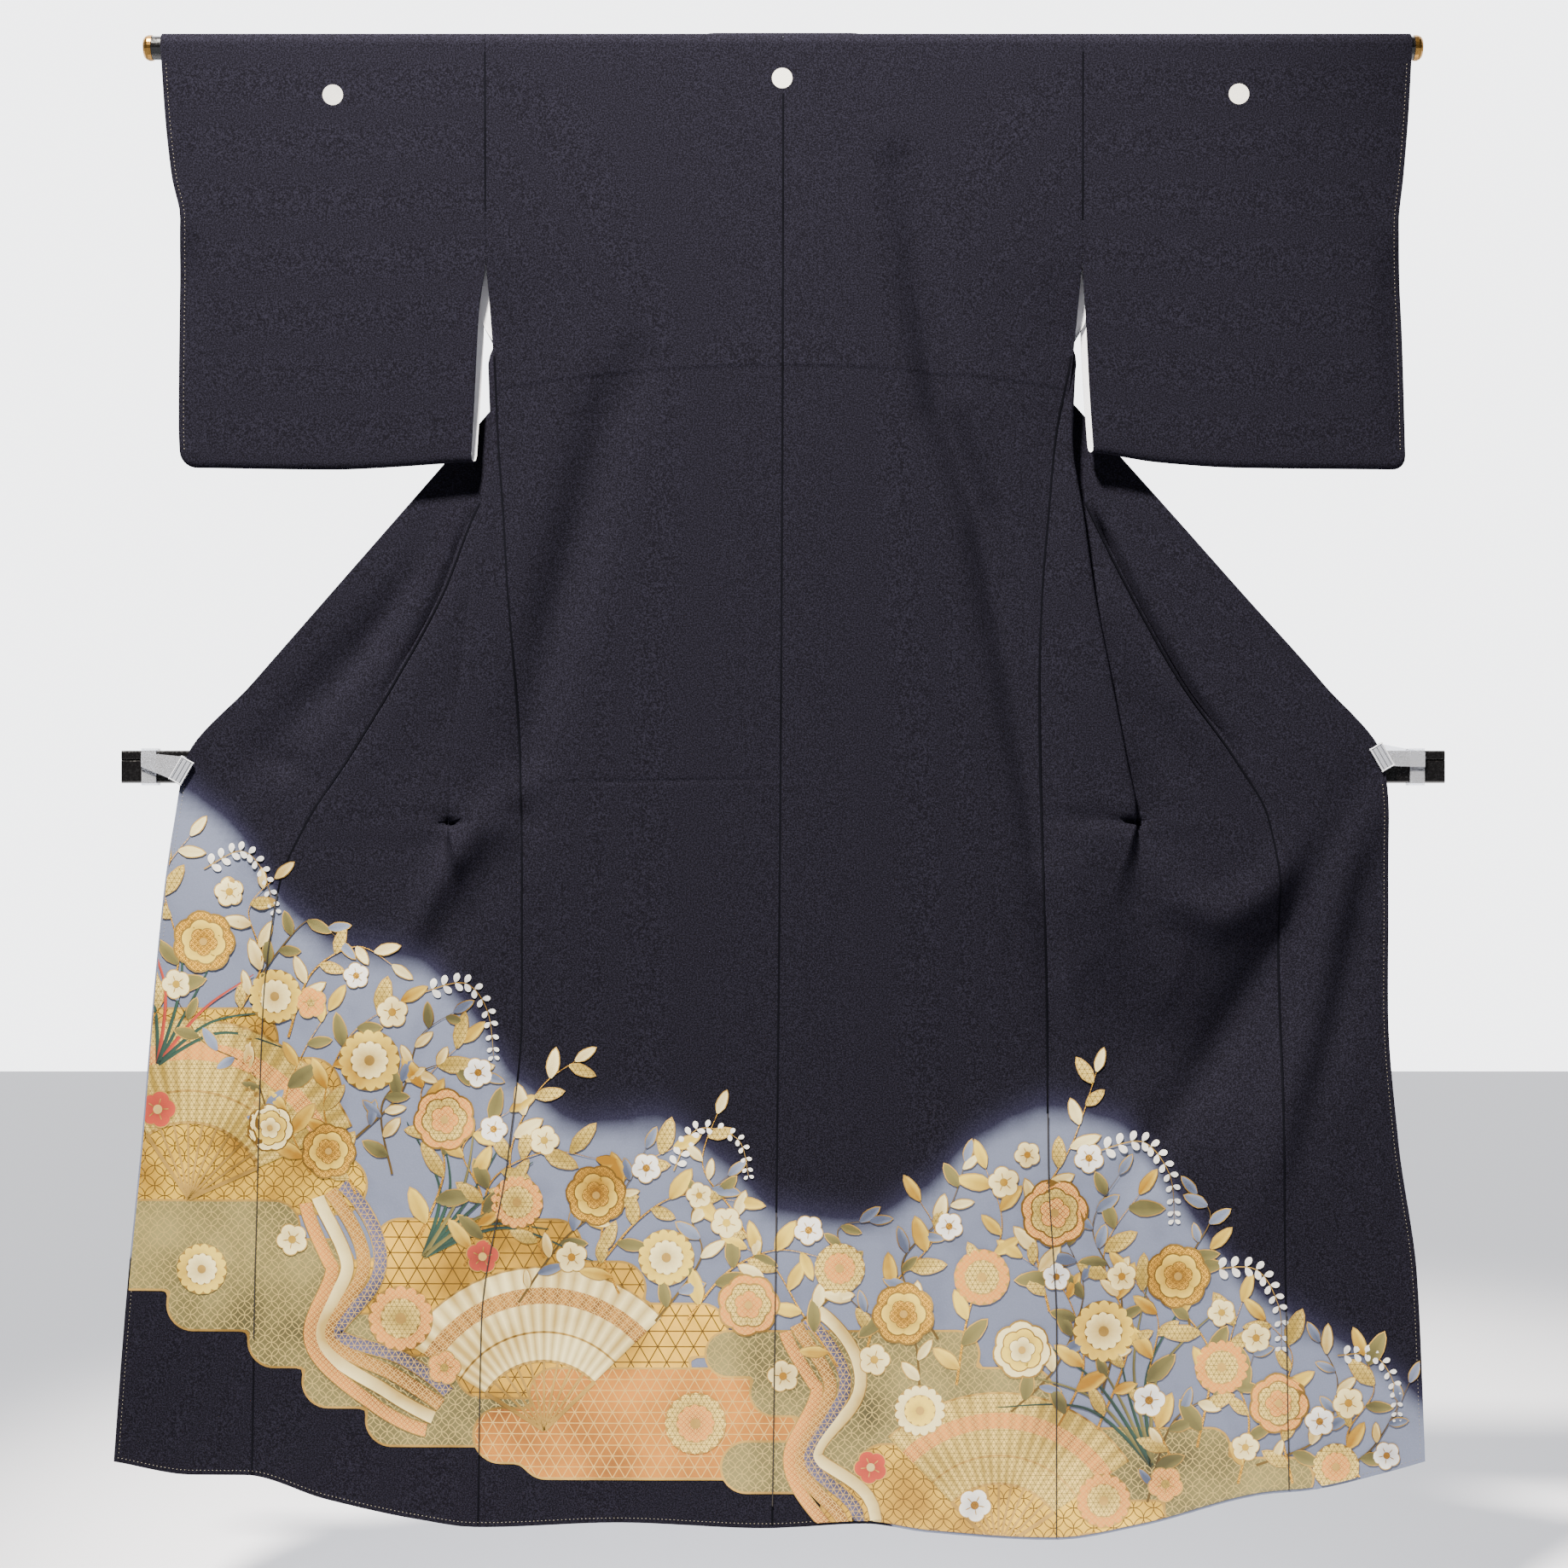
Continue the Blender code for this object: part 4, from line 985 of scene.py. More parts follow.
def drawField(colour, bands, grow, height):
    # the faces where the field is below zero, with its edge cut true
    cell = artEdge["cell"]
    low = [max(hemLine[0][0], min(b[0] - b[3] for b in bands)) - 4 * cell,
           min(b[2] - b[3] for b in bands) - 2 * cell]
    low = [math.floor(value / cell) * cell for value in low]
    high = (max(b[1] + b[3] for b in bands) + 2 * cell, max(b[2] + b[3] for b in bands) + 2 * cell)
    xs, drops = np.arange(low[0], high[0], cell), np.arange(low[1], high[1], cell)
    gridX, gridDrop = np.meshgrid(xs, drops)
    values = cloudField(bands, gridX, gridDrop) - grow
    points, known, faces = [], {}, []

    def corner(key):
        if key not in known:
            ends = key if isinstance(key[0], tuple) else (key, key)
            (i, j), (k, m) = ends
            a, b = values[j][i], values[m][k]
            share = 0.0 if (i, j) == (k, m) else a / (a - b)
            known[key] = len(points)
            points.append((blend(xs[i], xs[k], share), blend(drops[j], drops[m], share), height, 0.5))
        return known[key]

    for j in range(len(drops) - 1):
        for i in range(len(xs) - 1):
            ring = [(i, j), (i + 1, j), (i + 1, j + 1), (i, j + 1)]
            inside = [values[b][a] < 0 for a, b in ring]
            if not any(inside):
                continue
            face = []
            for n in range(4):
                here, after = ring[n], ring[(n + 1) % 4]
                if inside[n]:
                    face.append(corner(here))
                if inside[n] != inside[(n + 1) % 4]:
                    face.append(corner((here, after) if here < after else (after, here)))
            if len(face) > 2:
                faces.append(tuple(face))
    draw(colour, points, faces)


def pairs(numbers):
    return list(zip(numbers[::2], numbers[1::2]))


def polar(centre, radius, angle):
    return centre[0] + radius * math.cos(angle), centre[1] + radius * math.sin(angle)


def turned(points, centre, angle):
    # places a shape drawn about the origin
    c, s = math.cos(angle), math.sin(angle)
    return [(centre[0] + x * c - y * s, centre[1] + x * s + y * c, h, tone) for x, y, h, tone in points]


def stripFaces(count):
    # for a strip that is three points wide
    return [(a, a + 1, a + 4, a + 3) for i in range(count) for a in (3 * i, 3 * i + 1)]


def petal(length, width, tip, height, inner=0.0, tone=(0.25, 0.9)):
    # a strip from the flower's heart outwards, along x, widest at the share tip and pointed past 0.5
    points = []
    blunt = tip > 0.5
    places = (0.0, 0.3, 0.55, 0.74, 0.87, 0.95, 1.0) if blunt else (0.0, 0.12, 0.3, 0.5, 0.7, 0.86, 1.0)
    for t in places:
        if t < tip:
            share = 0.22 + 0.78 * math.sin(math.pi / 2 * t / tip)
        else:
            share = max(0.0, 1.0 - ((t - tip) / (1.0 - tip)) ** (2.0 if blunt else 1.5)) ** 0.6
        half = width / 2 * share
        x = blend(inner, length, t)
        rise = height + 0.12 * math.sin(math.pi * t)
        shade = blend(*tone, t)
        edge = rise - 0.05
        points += [(x, -half, edge, shade), (x, 0.0, rise, shade - 0.08), (x, half, edge, shade)]
    return points, stripFaces(len(places) - 1)


def drawPetals(colour, centre, size, reach, count, width, tip, rise, inner, turn, tone=(0.25, 0.9)):
    # reach, width and inner are shares of the size
    points, faces = petal(size * reach, size * width, tip, layer["flower"] + rise, size * inner, tone)
    for i in range(count):
        draw(colour, turned(points, centre, turn + 2 * math.pi * i / count), faces)


def disc(colour, centre, radius, height, tone=0.5, sides=14):
    points = [(centre[0], centre[1], height + 0.1, tone)]
    points += [polar(centre, radius, 2 * math.pi * i / sides) + (height, tone) for i in range(sides)]
    draw(colour, points, [(0, 1 + i, 1 + (i + 1) % sides) for i in range(sides)])


def chrysanthemum(centre, radius, outer, inner):
    turn = chance.random()
    disc("thread", centre, radius * 0.99, layer["flower"] - layer["line"] * 2, 0.3, 28)
    drawPetals(outer, centre, radius, 1.0, 16, 0.36, 0.72, 0.0, 0.2, turn)
    disc("thread", centre, radius * 0.62, layer["flower"] + 0.12, 0.3, 20)
    drawPetals(inner, centre, radius, 0.62, 12, 0.30, 0.72, 0.2, 0.1, turn + 0.2)
    disc("thread", centre, radius * 0.17, layer["flower"] + 0.35)


def peony(centre, radius, outer, inner):
    turn = chance.random() * 6
    for ring, (share, count, colour) in enumerate([(1.0, 7, outer), (0.74, 6, inner), (0.46, 5, outer)]):
        size, rise = radius * share, 0.16 * ring
        drawPetals("thread", centre, size, 1.04, count, 0.98, 0.62, rise, 0.0, turn + ring, (0.2, 0.2))
        rise += layer["line"]
        drawPetals(colour, centre, size, 0.98, count, 0.88, 0.62, rise, 0.0, turn + ring, (0.1, 0.95))
    disc("thread", centre, radius * 0.13, layer["flower"] + 0.6, 0.8)


def plum(centre, radius, outer, inner):
    turn = chance.random() * 6
    drawPetals("thread", centre, radius, 1.07, 5, 1.04, 0.6, -layer["line"], 0.0, turn)
    drawPetals(outer, centre, radius, 1.0, 5, 0.96, 0.6, 0.0, 0.0, turn, (0.5, 0.95))
    disc(inner, centre, radius * 0.26, layer["flower"] + 0.2, 0.2)
    drawPetals("thread", centre, radius, 0.62, 5, 0.07, 0.7, 0.15, 0.2, turn)


def leaf(centre, angle, length, width, colour):
    # two halves of unlike tone about the rib, with a fine outline below
    points, faces = petal(length, width, 0.4, layer["leaf"], 0.0, (0.35, 0.75))
    half = [(x, y, h, tone + (0.22 if y > 0 else -0.12)) for x, y, h, tone in points]
    draw(colour, turned(half, centre, angle), faces)
    points, faces = petal(length * 1.05, width + 2.4, 0.4, layer["leaf"] - layer["line"] * 2, 0.0)
    draw("thread", turned(points, centre, angle), faces)


def wayAt(line, i):
    before, after = line[max(0, i - 1)], line[min(len(line) - 1, i + 1)]
    return math.atan2(after[1] - before[1], after[0] - before[0])


def ribbon(colour, line, width, height, tone=(0.5, 0.5), taper=False):
    # a band along a line of x and drop
    points = []
    for i, (x, drop) in enumerate(line):
        half = width / 2 * (1.0 - i / len(line) * 0.85 if taper else 1.0)
        across = (-math.sin(wayAt(line, i)) * half, math.cos(wayAt(line, i)) * half)
        points += [(x - across[0], drop - across[1], height, tone[0]), (x, drop, height, sum(tone) / 2),
                   (x + across[0], drop + across[1], height, tone[1])]
    draw(colour, points, stripFaces(len(line) - 1))


def curveThrough(points, gap=6.0):
    # Catmull-Rom through the points, at about even gaps
    ends = [points[0]] + points + [points[-1]]
    line = []
    for p, q, r, s in zip(ends, ends[1:], ends[2:], ends[3:]):
        count = max(2, int(math.dist(q, r) / gap))
        for i in range(count):
            t = i / count
            line.append(tuple(0.5 * (2 * b + (c - a) * t + (2 * a - 5 * b + 4 * c - d) * t * t
                                     + (3 * b - a - 3 * c + d) * t ** 3) for a, b, c, d in zip(p, q, r, s)))
    return line + [points[-1]]


def fan(pivot, radius, facing, half, paper, band):
    # a folded paper fan: its paper with an outline, a band and a line across it, and its ribs
    folds = 18
    for colour, near, far, rise in (("thread", 0.42, 1.012, -0.08), (paper, 0.435, 1.0, 0.0),
                                    (band, 0.78, 0.88, 0.08), ("thread", 0.60, 0.612, 0.08)):
        rings = max(1, int((far - near) * radius / 8))
        points = []
        for i in range(2 * folds + 1):
            angle = facing + half * (i / folds - 1)
            points += [polar(pivot, radius * (near + (far - near) * j / rings), angle)
                       + (layer["fan"] + rise, 0.15 + 0.7 * (i % 2)) for j in range(rings + 1)]
        starts = [i * (rings + 1) + j for i in range(2 * folds) for j in range(rings)]
        draw(colour, points, [(a, a + 1, a + rings + 2, a + rings + 1) for a in starts])
    for i in range(0, folds + 1, 2):
        angle = facing + half * (2 * i / folds - 1)
        rib = [polar(pivot, share * radius, angle) for share in steps(0.0, 0.43, 0.06)]
        ribbon("thread", rib, 4.4 if i in (0, folds) else 2.6, layer["fan"] - 0.04)


def vine(points, stem, leaves, size, spacing):
    # a stem with leaves to either side and one at its tip
    line = curveThrough(points)
    ribbon(stem, line, 2.8, layer["stem"], taper=True)
    walked, side = spacing * 0.4, 1
    for i in range(2, len(line) - 2):
        walked += math.dist(line[i], line[i - 1])
        if walked > spacing:
            walked, side = 0.0, -side
            length = size * chance.uniform(0.75, 1.2)
            angle = wayAt(line, i) + side * chance.uniform(0.55, 1.05)
            width = length * chance.uniform(0.36, 0.46)
            leaf(line[i], angle, length, width, chance.choice(leaves))
    way = math.atan2(line[-1][1] - line[-4][1], line[-1][0] - line[-4][0])
    leaf(line[-1], way, size * 0.9, size * 0.34, leaves[0])


def budString(points, colour, size):
    # small buds in pairs, larger towards the stem
    line = curveThrough(points, size * 0.95)
    ribbon("thread", curveThrough(points), 1.5, layer["stem"], taper=True)
    for i, spot in enumerate(line[1:]):
        grown = size * (1.15 - 0.6 * i / len(line))
        for side in (-1, 1):
            shape, faces = petal(grown, grown * 0.62, 0.55, layer["leaf"], 1.0, (0.5, 0.9))
            way = math.atan2(spot[1] - line[i][1], spot[0] - line[i][0])
            draw(colour, turned(shape, spot, way + side * 1.0), faces)


def grass(base, facing, half, length, count, colours):
    for i in range(count):
        angle = facing + half * (2 * i / (count - 1) - 1)
        reach = length * chance.uniform(0.75, 1.1)
        lean = (i / (count - 1) - 0.5) * reach * 0.75
        tip = polar(base, reach, angle)
        tip = (tip[0] - lean * math.sin(angle), tip[1] + lean * math.cos(angle))
        blade = curveThrough([base, polar(base, reach * 0.55, angle), tip])
        ribbon(colours[i % len(colours)], blade, 5.0, layer["stem"] + 0.03 * (i % 3), (0.2, 0.7), True)


def streamers(points, width, colours):
    # bands of cloth side by side that follow one line
    line = curveThrough(points)
    for n, colour in enumerate(colours):
        offset = (n - (len(colours) - 1) / 2) * width
        shifted = []
        for i, (x, drop) in enumerate(line):
            way = wayAt(line, i)
            sway = offset * (1.0 + 0.35 * math.sin(3.0 * i / len(line) * math.pi))
            shifted.append((x - math.sin(way) * sway, drop + math.cos(way) * sway))
        ribbon("thread", shifted, width * 1.04, layer["fan"] + 0.02 * n, (0.4, 0.4))
        ribbon(colour, shifted, width * 0.9, layer["fan"] + 0.06 + 0.02 * n, (0.2, 0.8))


for level, (name, (colour, bands)) in enumerate(clouds.items()):
    height = layer["cloud"] + layer["cloudStep"] * level
    drawField("thread", bands, 2.4, height - layer["line"])
    drawField(colour, bands, 0.0, height)

fan((-655, 1268), 196, math.radians(-74), math.radians(50), "paleGold", "orange")
fan((-262, 1520), 178, math.radians(-96), math.radians(52), "cream", "ochrePlain")
fan((236, 1652), 172, math.radians(-84), math.radians(50), "paleGold", "orange")
streamers([(-505, 1262), (-470, 1340), (-505, 1420), (-430, 1470), (-380, 1500)], 15,
          ("violet", "ochrePlain", "cream", "orange"))
streamers([(20, 1400), (60, 1470), (22, 1550), (72, 1612), (66, 1650)], 14,
          ("cream", "violet", "ochrePlain", "orange"))
grass((-690, 1120), math.radians(-62), 0.62, 150, 7, ("green", "red", "green"))
grass((-395, 1330), math.radians(-48), 0.50, 175, 8, ("green", "green", "olivePlain"))
grass((405, 1560), math.radians(-112), 0.46, 190, 8, ("green", "olivePlain"))

# stems: their colour and the leaves', the leaves' length and gap, and lines of x and drop in turn
vines = [
    ("gold", ("cream", "paleGold"), 30, 21, [
        (-712, 1060, -722, 985, -690, 915, -655, 868), (-610, 1075, -575, 1010, -590, 950, -560, 915),
        (-545, 1090, -520, 1020, -470, 990, -430, 1010), (292, 1390, 276, 1290, 318, 1205, 345, 1128),
        (-262, 1330, -300, 1230, -270, 1150, -228, 1115), (-15, 1370, -48, 1290, -88, 1230, -72, 1172)]),
    ("gold", ("goldLeaf", "olivePlain", "paleGold"), 36, 23, [
        (-470, 1262, -505, 1170, -478, 1090, -420, 1050),
        (-400, 1310, -372, 1230, -398, 1150, -352, 1095),
        (-330, 1330, -322, 1250, -262, 1215, -205, 1222),
        (-212, 1352, -160, 1290, -112, 1262, -52, 1268), (-105, 1398, -60, 1345, -8, 1322, 42, 1330),
        (92, 1430, 112, 1370, 165, 1310, 150, 1268), (190, 1470, 205, 1385, 240, 1300, 222, 1232),
        (345, 1520, 380, 1420, 352, 1330, 392, 1262), (455, 1540, 470, 1440, 432, 1372, 470, 1322),
        (560, 1580, 545, 1500, 560, 1440, 530, 1400), (-700, 1075, -668, 1010, -682, 940, -705, 880),
        (-520, 1240, -548, 1170, -530, 1110, -500, 1060),
        (-350, 1340, -330, 1270, -352, 1210, -300, 1170),
        (-180, 1370, -200, 1310, -170, 1240, -120, 1210), (60, 1450, 20, 1390, -10, 1340, -40, 1320),
        (300, 1520, 330, 1450, 310, 1370, 262, 1330), (430, 1560, 400, 1480, 412, 1400, 380, 1350),
        (500, 1580, 512, 1510, 490, 1440, 505, 1380), (640, 1590, 620, 1530, 650, 1480, 640, 1440)]),
    ("bronze", ("slate", "olivePlain", "cream"), 28, 19, [
        (-560, 1210, -585, 1130, -640, 1095, -668, 1050),
        (-430, 1240, -440, 1160, -380, 1120, -330, 1130),
        (-290, 1380, -240, 1310, -180, 1262, -150, 1210), (20, 1400, 70, 1352, 60, 1300, 95, 1290),
        (150, 1480, 140, 1410, 90, 1390, 60, 1360), (250, 1500, 300, 1450, 330, 1370, 310, 1310),
        (400, 1600, 430, 1510, 500, 1470, 520, 1430), (520, 1560, 590, 1530, 610, 1470, 590, 1425),
        (600, 1575, 645, 1545, 672, 1505, 690, 1470), (-600, 1060, -560, 1000, -520, 960, -488, 985),
        (-470, 1200, -420, 1150, -400, 1090, -362, 1062),
        (-140, 1400, -90, 1330, -100, 1280, -60, 1240), (170, 1420, 130, 1340, 180, 1280, 200, 1225),
        (350, 1480, 372, 1380, 340, 1300, 370, 1240), (450, 1420, 440, 1350, 470, 1290, 455, 1262)]),
]
for stem, leaves, size, spacing, lines in vines:
    for line in lines:
        vine(pairs(line), stem, leaves, size, spacing)
for size, line in ((11, (-640, 905, -600, 885, -575, 905, -560, 950)),
                   (11, (-395, 1040, -350, 1030, -325, 1060, -318, 1110)),
                   (10, (-120, 1235, -95, 1190, -50, 1200, -38, 1240)),
                   (12, (345, 1215, 395, 1205, 425, 1240, 430, 1290)),
                   (12, (470, 1345, 520, 1345, 545, 1385, 548, 1430)),
                   (10, (610, 1440, 650, 1440, 672, 1470, 676, 1510))):
    budString(pairs(line), "white", size)

# flowers by kind: x, drop, radius and colour; the second colour is the partner's
gardens = {
    "peony": [
        (-640, 985, 34, "gold"), (-372, 1180, 34, "orange"), (-500, 1215, 30, "gold"),
        (-205, 1262, 33, "gold"), (-38, 1382, 34, "orange"), (132, 1392, 34, "gold"),
        (298, 1282, 37, "orange"), (262, 1432, 32, "cream"), (434, 1352, 35, "gold"),
        (545, 1492, 33, "orange"), (-565, 1190, 26, "cream")],
    "chrysanthemum": [
        (-560, 1045, 30, "goldLeaf"), (-455, 1115, 34, "goldLeaf"), (-292, 1270, 29, "orange"),
        (-128, 1330, 31, "goldLeaf"), (62, 1342, 28, "paleGold"), (218, 1352, 31, "orange"),
        (352, 1412, 34, "goldLeaf"), (482, 1452, 30, "orange"), (608, 1562, 26, "paleGold"),
        (-420, 1398, 36, "orange"), (-96, 1512, 34, "paleGold"), (-640, 1345, 28, "goldLeaf"),
        (352, 1598, 30, "orange"), (150, 1498, 28, "cream")],
    "plum": [
        (-705, 918, 17, "white"), (-612, 930, 16, "cream"), (-430, 1062, 17, "cream"),
        (-335, 1128, 16, "white"), (-150, 1232, 16, "white"), (-62, 1292, 17, "cream"),
        (242, 1248, 17, "cream"), (336, 1222, 16, "white"), (402, 1488, 18, "white"),
        (520, 1420, 16, "cream"), (622, 1492, 17, "cream"), (664, 1550, 15, "white"),
        (420, 1580, 19, "orange"), (-540, 1312, 17, "cream"), (-372, 1452, 18, "orange"),
        (0, 1460, 17, "cream"), (-670, 1032, 16, "cream"), (-520, 1052, 17, "orange"),
        (-470, 1022, 14, "white"), (-262, 1202, 16, "cream"), (-318, 1190, 15, "white"),
        (-232, 1330, 17, "cream"), (-92, 1262, 14, "cream"), (28, 1300, 16, "white"),
        (100, 1442, 17, "cream"), (182, 1296, 15, "white"), (268, 1218, 14, "cream"),
        (372, 1352, 16, "cream"), (300, 1352, 15, "white"), (482, 1392, 15, "cream"),
        (590, 1512, 16, "white"), (508, 1540, 15, "cream"), (210, 1602, 18, "white"),
        (-690, 1170, 20, "red"), (96, 1560, 18, "red"), (-330, 1330, 18, "red")],
}
partner = {"gold": "goldLeaf", "goldLeaf": "cream", "orange": "paleGold", "paleGold": "orange",
           "cream": "goldLeaf", "white": "gold", "red": "cream"}
growers = {"peony": peony, "chrysanthemum": chrysanthemum, "plum": plum}
for kind, bed in gardens.items():
    for x, drop, radius, colour in bed:
        growers[kind]((x, drop), radius, colour, partner[colour])


# painted shade along the seams' creases, as fine dark lines: their widths, the gap of their points, and where
# they start and turn brown
seams = {
    "width": 1.3,             # through the design
    "plainWidth": 2.1,        # on the plain silk
    "step": 8,
    "okumiFrom": 500.0,
    "neck": 54,
    "designFrom": (30, 0.3),  # this far below where the haze has this strength
}
crests = {"radius": 11.2, "corners": 36, "at": [(-1, 37), (-494, 55), (500, 54)]}


def inDesign(place):
    below, strength = seams["designFrom"]
    return hazeAt(place[0], place[1] - below) > strength


def paintedSeamShade(line):
    # painted shade along a seam's crease: a fine dark line, brown through the design and black on the plain
    # silk
    last = []
    for dyed, run in itertools.groupby(line, key=inDesign):
        run = last + list(run)
        last = run[-1:]
        if dyed:
            ribbon("seam", run, seams["width"], layer["seam"])
        else:
            ribbon("plainSeamPaintedShade", run, seams["plainWidth"], layer["plainSeamPaintedShade"])


# painted shade lies along the seams' creases as fine dark lines, and the crests are plain white discs
for side in sides:
    for name, first in (("side", cloth["openingEnd"]), ("okumi", seams["okumiFrom"])):
        levels = steps(first, cloth["hemLevel"], seams["step"])
        line = [(signOf(side) * outOf(side, name, level), level) for level in levels]
        paintedSeamShade([(x, hemDrop(x, level)) for x, level in line])
    shoulder = signOf(side) * sleeve["inner"][side][0][1]
    ends = (seams["step"], sleeve["opening"][side] - seams["step"])
    paintedSeamShade([(shoulder, drop) for drop in steps(*ends, seams["step"])])
levels = steps(seams["neck"], cloth["hemLevel"], seams["step"])
paintedSeamShade([(centreOf(level), hemDrop(0, level)) for level in levels])
for x, drop in crests["at"]:
    disc("white", (x, drop), crests["radius"], layer["cloud"], 0.9, crests["corners"])


def clampToCloth(x, drop):
    # keeps the design a little inside the hem and the fronts' free edges
    if drop < 600:
        return x, drop
    lower = readLine(hemLine, x)
    drop = min(drop, lower - artEdge["hem"])
    level = drop
    for again in range(3):
        level = drop + (cloth["hemLevel"] - lower) * smooth(cloth["hemStart"], cloth["hemLevel"], level)
    left, right = [outOf(side, "edge", level) - artEdge["front"] for side in sides]
    return max(-left, min(right, x)), drop


def clothTree():
    points, faces = [], []
    for name, piece in cutPieces.items():
        if name != "collar":
            first = len(points)
            points += [tuple(v.co) for v in piece.data.vertices]
            faces += [tuple(first + i for i in face.vertices) for face in piece.data.polygons]
    return BVHTree.FromPolygons(points, faces)


def castOn(tree, x, drop):
    # the cloth's place and direction as seen from before it
    return tree.ray_cast(Vector((x * mm, -0.3, -drop * mm)), Vector((0, 1, 0)))[:2]


seamReach = 3.2            # the design bridges the narrow dips of the seams


def lay(tree, points):
    # the shape's points on the cloth's outer side, or None where there is no cloth
    laid = []
    for x, drop, height, tone in points:
        x, drop = clampToCloth(x, drop)
        spot, normal = None, None
        for side in (0.0, -seamReach, seamReach):
            near, facing = castOn(tree, x + side, drop)
            if near is not None and (spot is None or near.y < spot.y):
                spot, normal = Vector((x * mm, near.y, -drop * mm)), facing if facing.y < 0 else -facing
        laid.append(None if spot is None else tuple(spot + normal * (cloth["wall"] / 2 + height) * mm))
    return laid


def layFaces(laid, faces):
    # leaves out faces off the cloth, across a step in it or squeezed to nothing at its edge
    kept = []
    for face in faces:
        corners = [laid[i] for i in face]
        if None in corners:
            continue
        deep = [p[1] for p in corners]
        wide = [max(p[k] for p in corners) - min(p[k] for p in corners) for k in (0, 2)]
        if max(deep) - min(deep) < 6 * mm and min(wide) > 0.05 * mm:
            kept.append(face)
    return kept


# Paints, gold leaf and embroidery: dark and light colour, between which tone, wear and painted sheen mix,
# roughness, metal, and for woven patterns their kind, size, line width and line colour.
inks = {
    "thread": ("#6d4f1a", "#d3aa55", 0.42, 0.45, None),
    "gold": ("#85590f", "#fcbf40", 0.42, 0.35, ("rings", 3.4, 0.5, "#6d4c16")),
    "goldLeaf": ("#9a6c16", "#ffdd5e", 0.40, 0.35, None),
    "paleGold": ("#9a7f30", "#f0d070", 0.45, 0.25, ("lattice", 5.0, 0.5, "#75602a")),
    "orange": ("#84430f", "#de8430", 0.55, 0.12, ("rings", 3.2, 0.45, "#d9ae5c")),
    "cream": ("#a88c48", "#f2e2a4", 0.55, 0.05, None),
    "white": ("#9a9ba0", "#efece2", 0.55, 0.0, None),
    "bronze": ("#3c2d10", "#6f5726", 0.5, 0.3, None),
    "slate": ("#3e465c", "#7d879d", 0.6, 0.05, None),
    "violet": ("#2c2b42", "#5b5878", 0.6, 0.05, ("lattice", 6.0, 0.6, "#b3924a")),
    "green": ("#0b211b", "#27493a", 0.6, 0.05, None),
    "red": ("#661d12", "#b8402a", 0.6, 0.05, None),
    "olivePlain": ("#443f1e", "#7f7642", 0.55, 0.15, None),
    "ochrePlain": ("#6f4715", "#b87f31", 0.5, 0.2, ("rings", 4.5, 0.6, "#cfa860")),
    "goldShippo": ("#92661a", "#ffd045", 0.42, 0.35, ("rings", 11.0, 0.9, "#5e4212")),
    "goldKagome": ("#886012", "#ffc842", 0.42, 0.35, ("lattice", 17.0, 1.1, "#563c0f")),
    "ochre": ("#74430f", "#cf852a", 0.5, 0.2, ("lattice", 12.0, 0.9, "#cba55a")),
    # painted shade along the seams' creases, through the design and on the plain silk
    "seam": ("#15110d", "#241c12", 0.7, 0.0, None),
    "plainSeamPaintedShade": ("#0c0c10", "#101015", 0.9, 0.0, None),
    "olive": ("#403a1e", "#8f8450", 0.5, 0.2, ("rings", 7.5, 0.8, "#aa9658")),
}


def patternLines(material, coords, kind, size, width):
    # 1 on the lines of overlapping circles or of a three-way lattice, 0 between
    split = addNode(material, "ShaderNodeSeparateXYZ", {}, {"Vector": coords})
    x, z = (split, "X"), (split, "Z")
    size, width = size * mm, width * mm
    gaps = []

    def do(operation, *values):
        return mathNode(material, operation, *values)

    if kind == "rings":
        near = [do("PINGPONG", axis, size) for axis in (x, z)]
        for first, second in (near, [do("SUBTRACT", size, part) for part in near]):
            far = do("SQRT", do("MULTIPLY_ADD", first, first, do("MULTIPLY", second, second)))
            gaps.append(do("ABSOLUTE", do("SUBTRACT", far, size)))
    else:
        for angle in (0, 60, 120):
            turn = math.radians(angle)
            along = do("MULTIPLY_ADD", z, math.cos(turn), do("MULTIPLY", x, math.sin(turn)))
            gaps.append(do("PINGPONG", along, size / 2))
    nearest = gaps[0]
    for gap in gaps[1:]:
        nearest = do("MINIMUM", nearest, gap)
    return ranged(material, nearest, width * 0.35, width * 0.75, 1.0, 0.0)


def makeInk(name, dark, light, roughness, metallic, pattern):
    material, shader = newMaterial("art_" + name, light, roughness, metallic)
    shader.inputs["Specular IOR Level"].default_value = 0.5 if roughness < 0.8 else 0.0
    coords = objectCoords(material)
    # the first noise is random wear; the second is painted sheen, broad lighter and darker patches that stand
    # in for light catching the gold leaf and paint
    worn = ranged(material, noise(material, coords, 14.0, 4.0), 0.35, 0.65, -0.28, 0.28)
    paintedSheen = ranged(material, noise(material, coords, 6.5, 1.0), 0.38, 0.62, -0.25, 0.3)
    wearAndPaintedSheen = mathNode(material, "ADD", paintedSheen, worn)
    share = mathNode(material, "ADD", attribute(material, "tone"), wearAndPaintedSheen, clamped=True)
    colour = mixed(material, share, dark, light)
    if pattern:
        kind, size, width, lineColour = pattern
        lines = patternLines(material, coords, kind, size, width)
        colour = mixed(material, lines, colour, lineColour)
    connect(material, colour, shader, "Base Color")
    addBump(material, shader, noise(material, coords, 900.0, 1.0), 0.4, 0.0003)
    return material


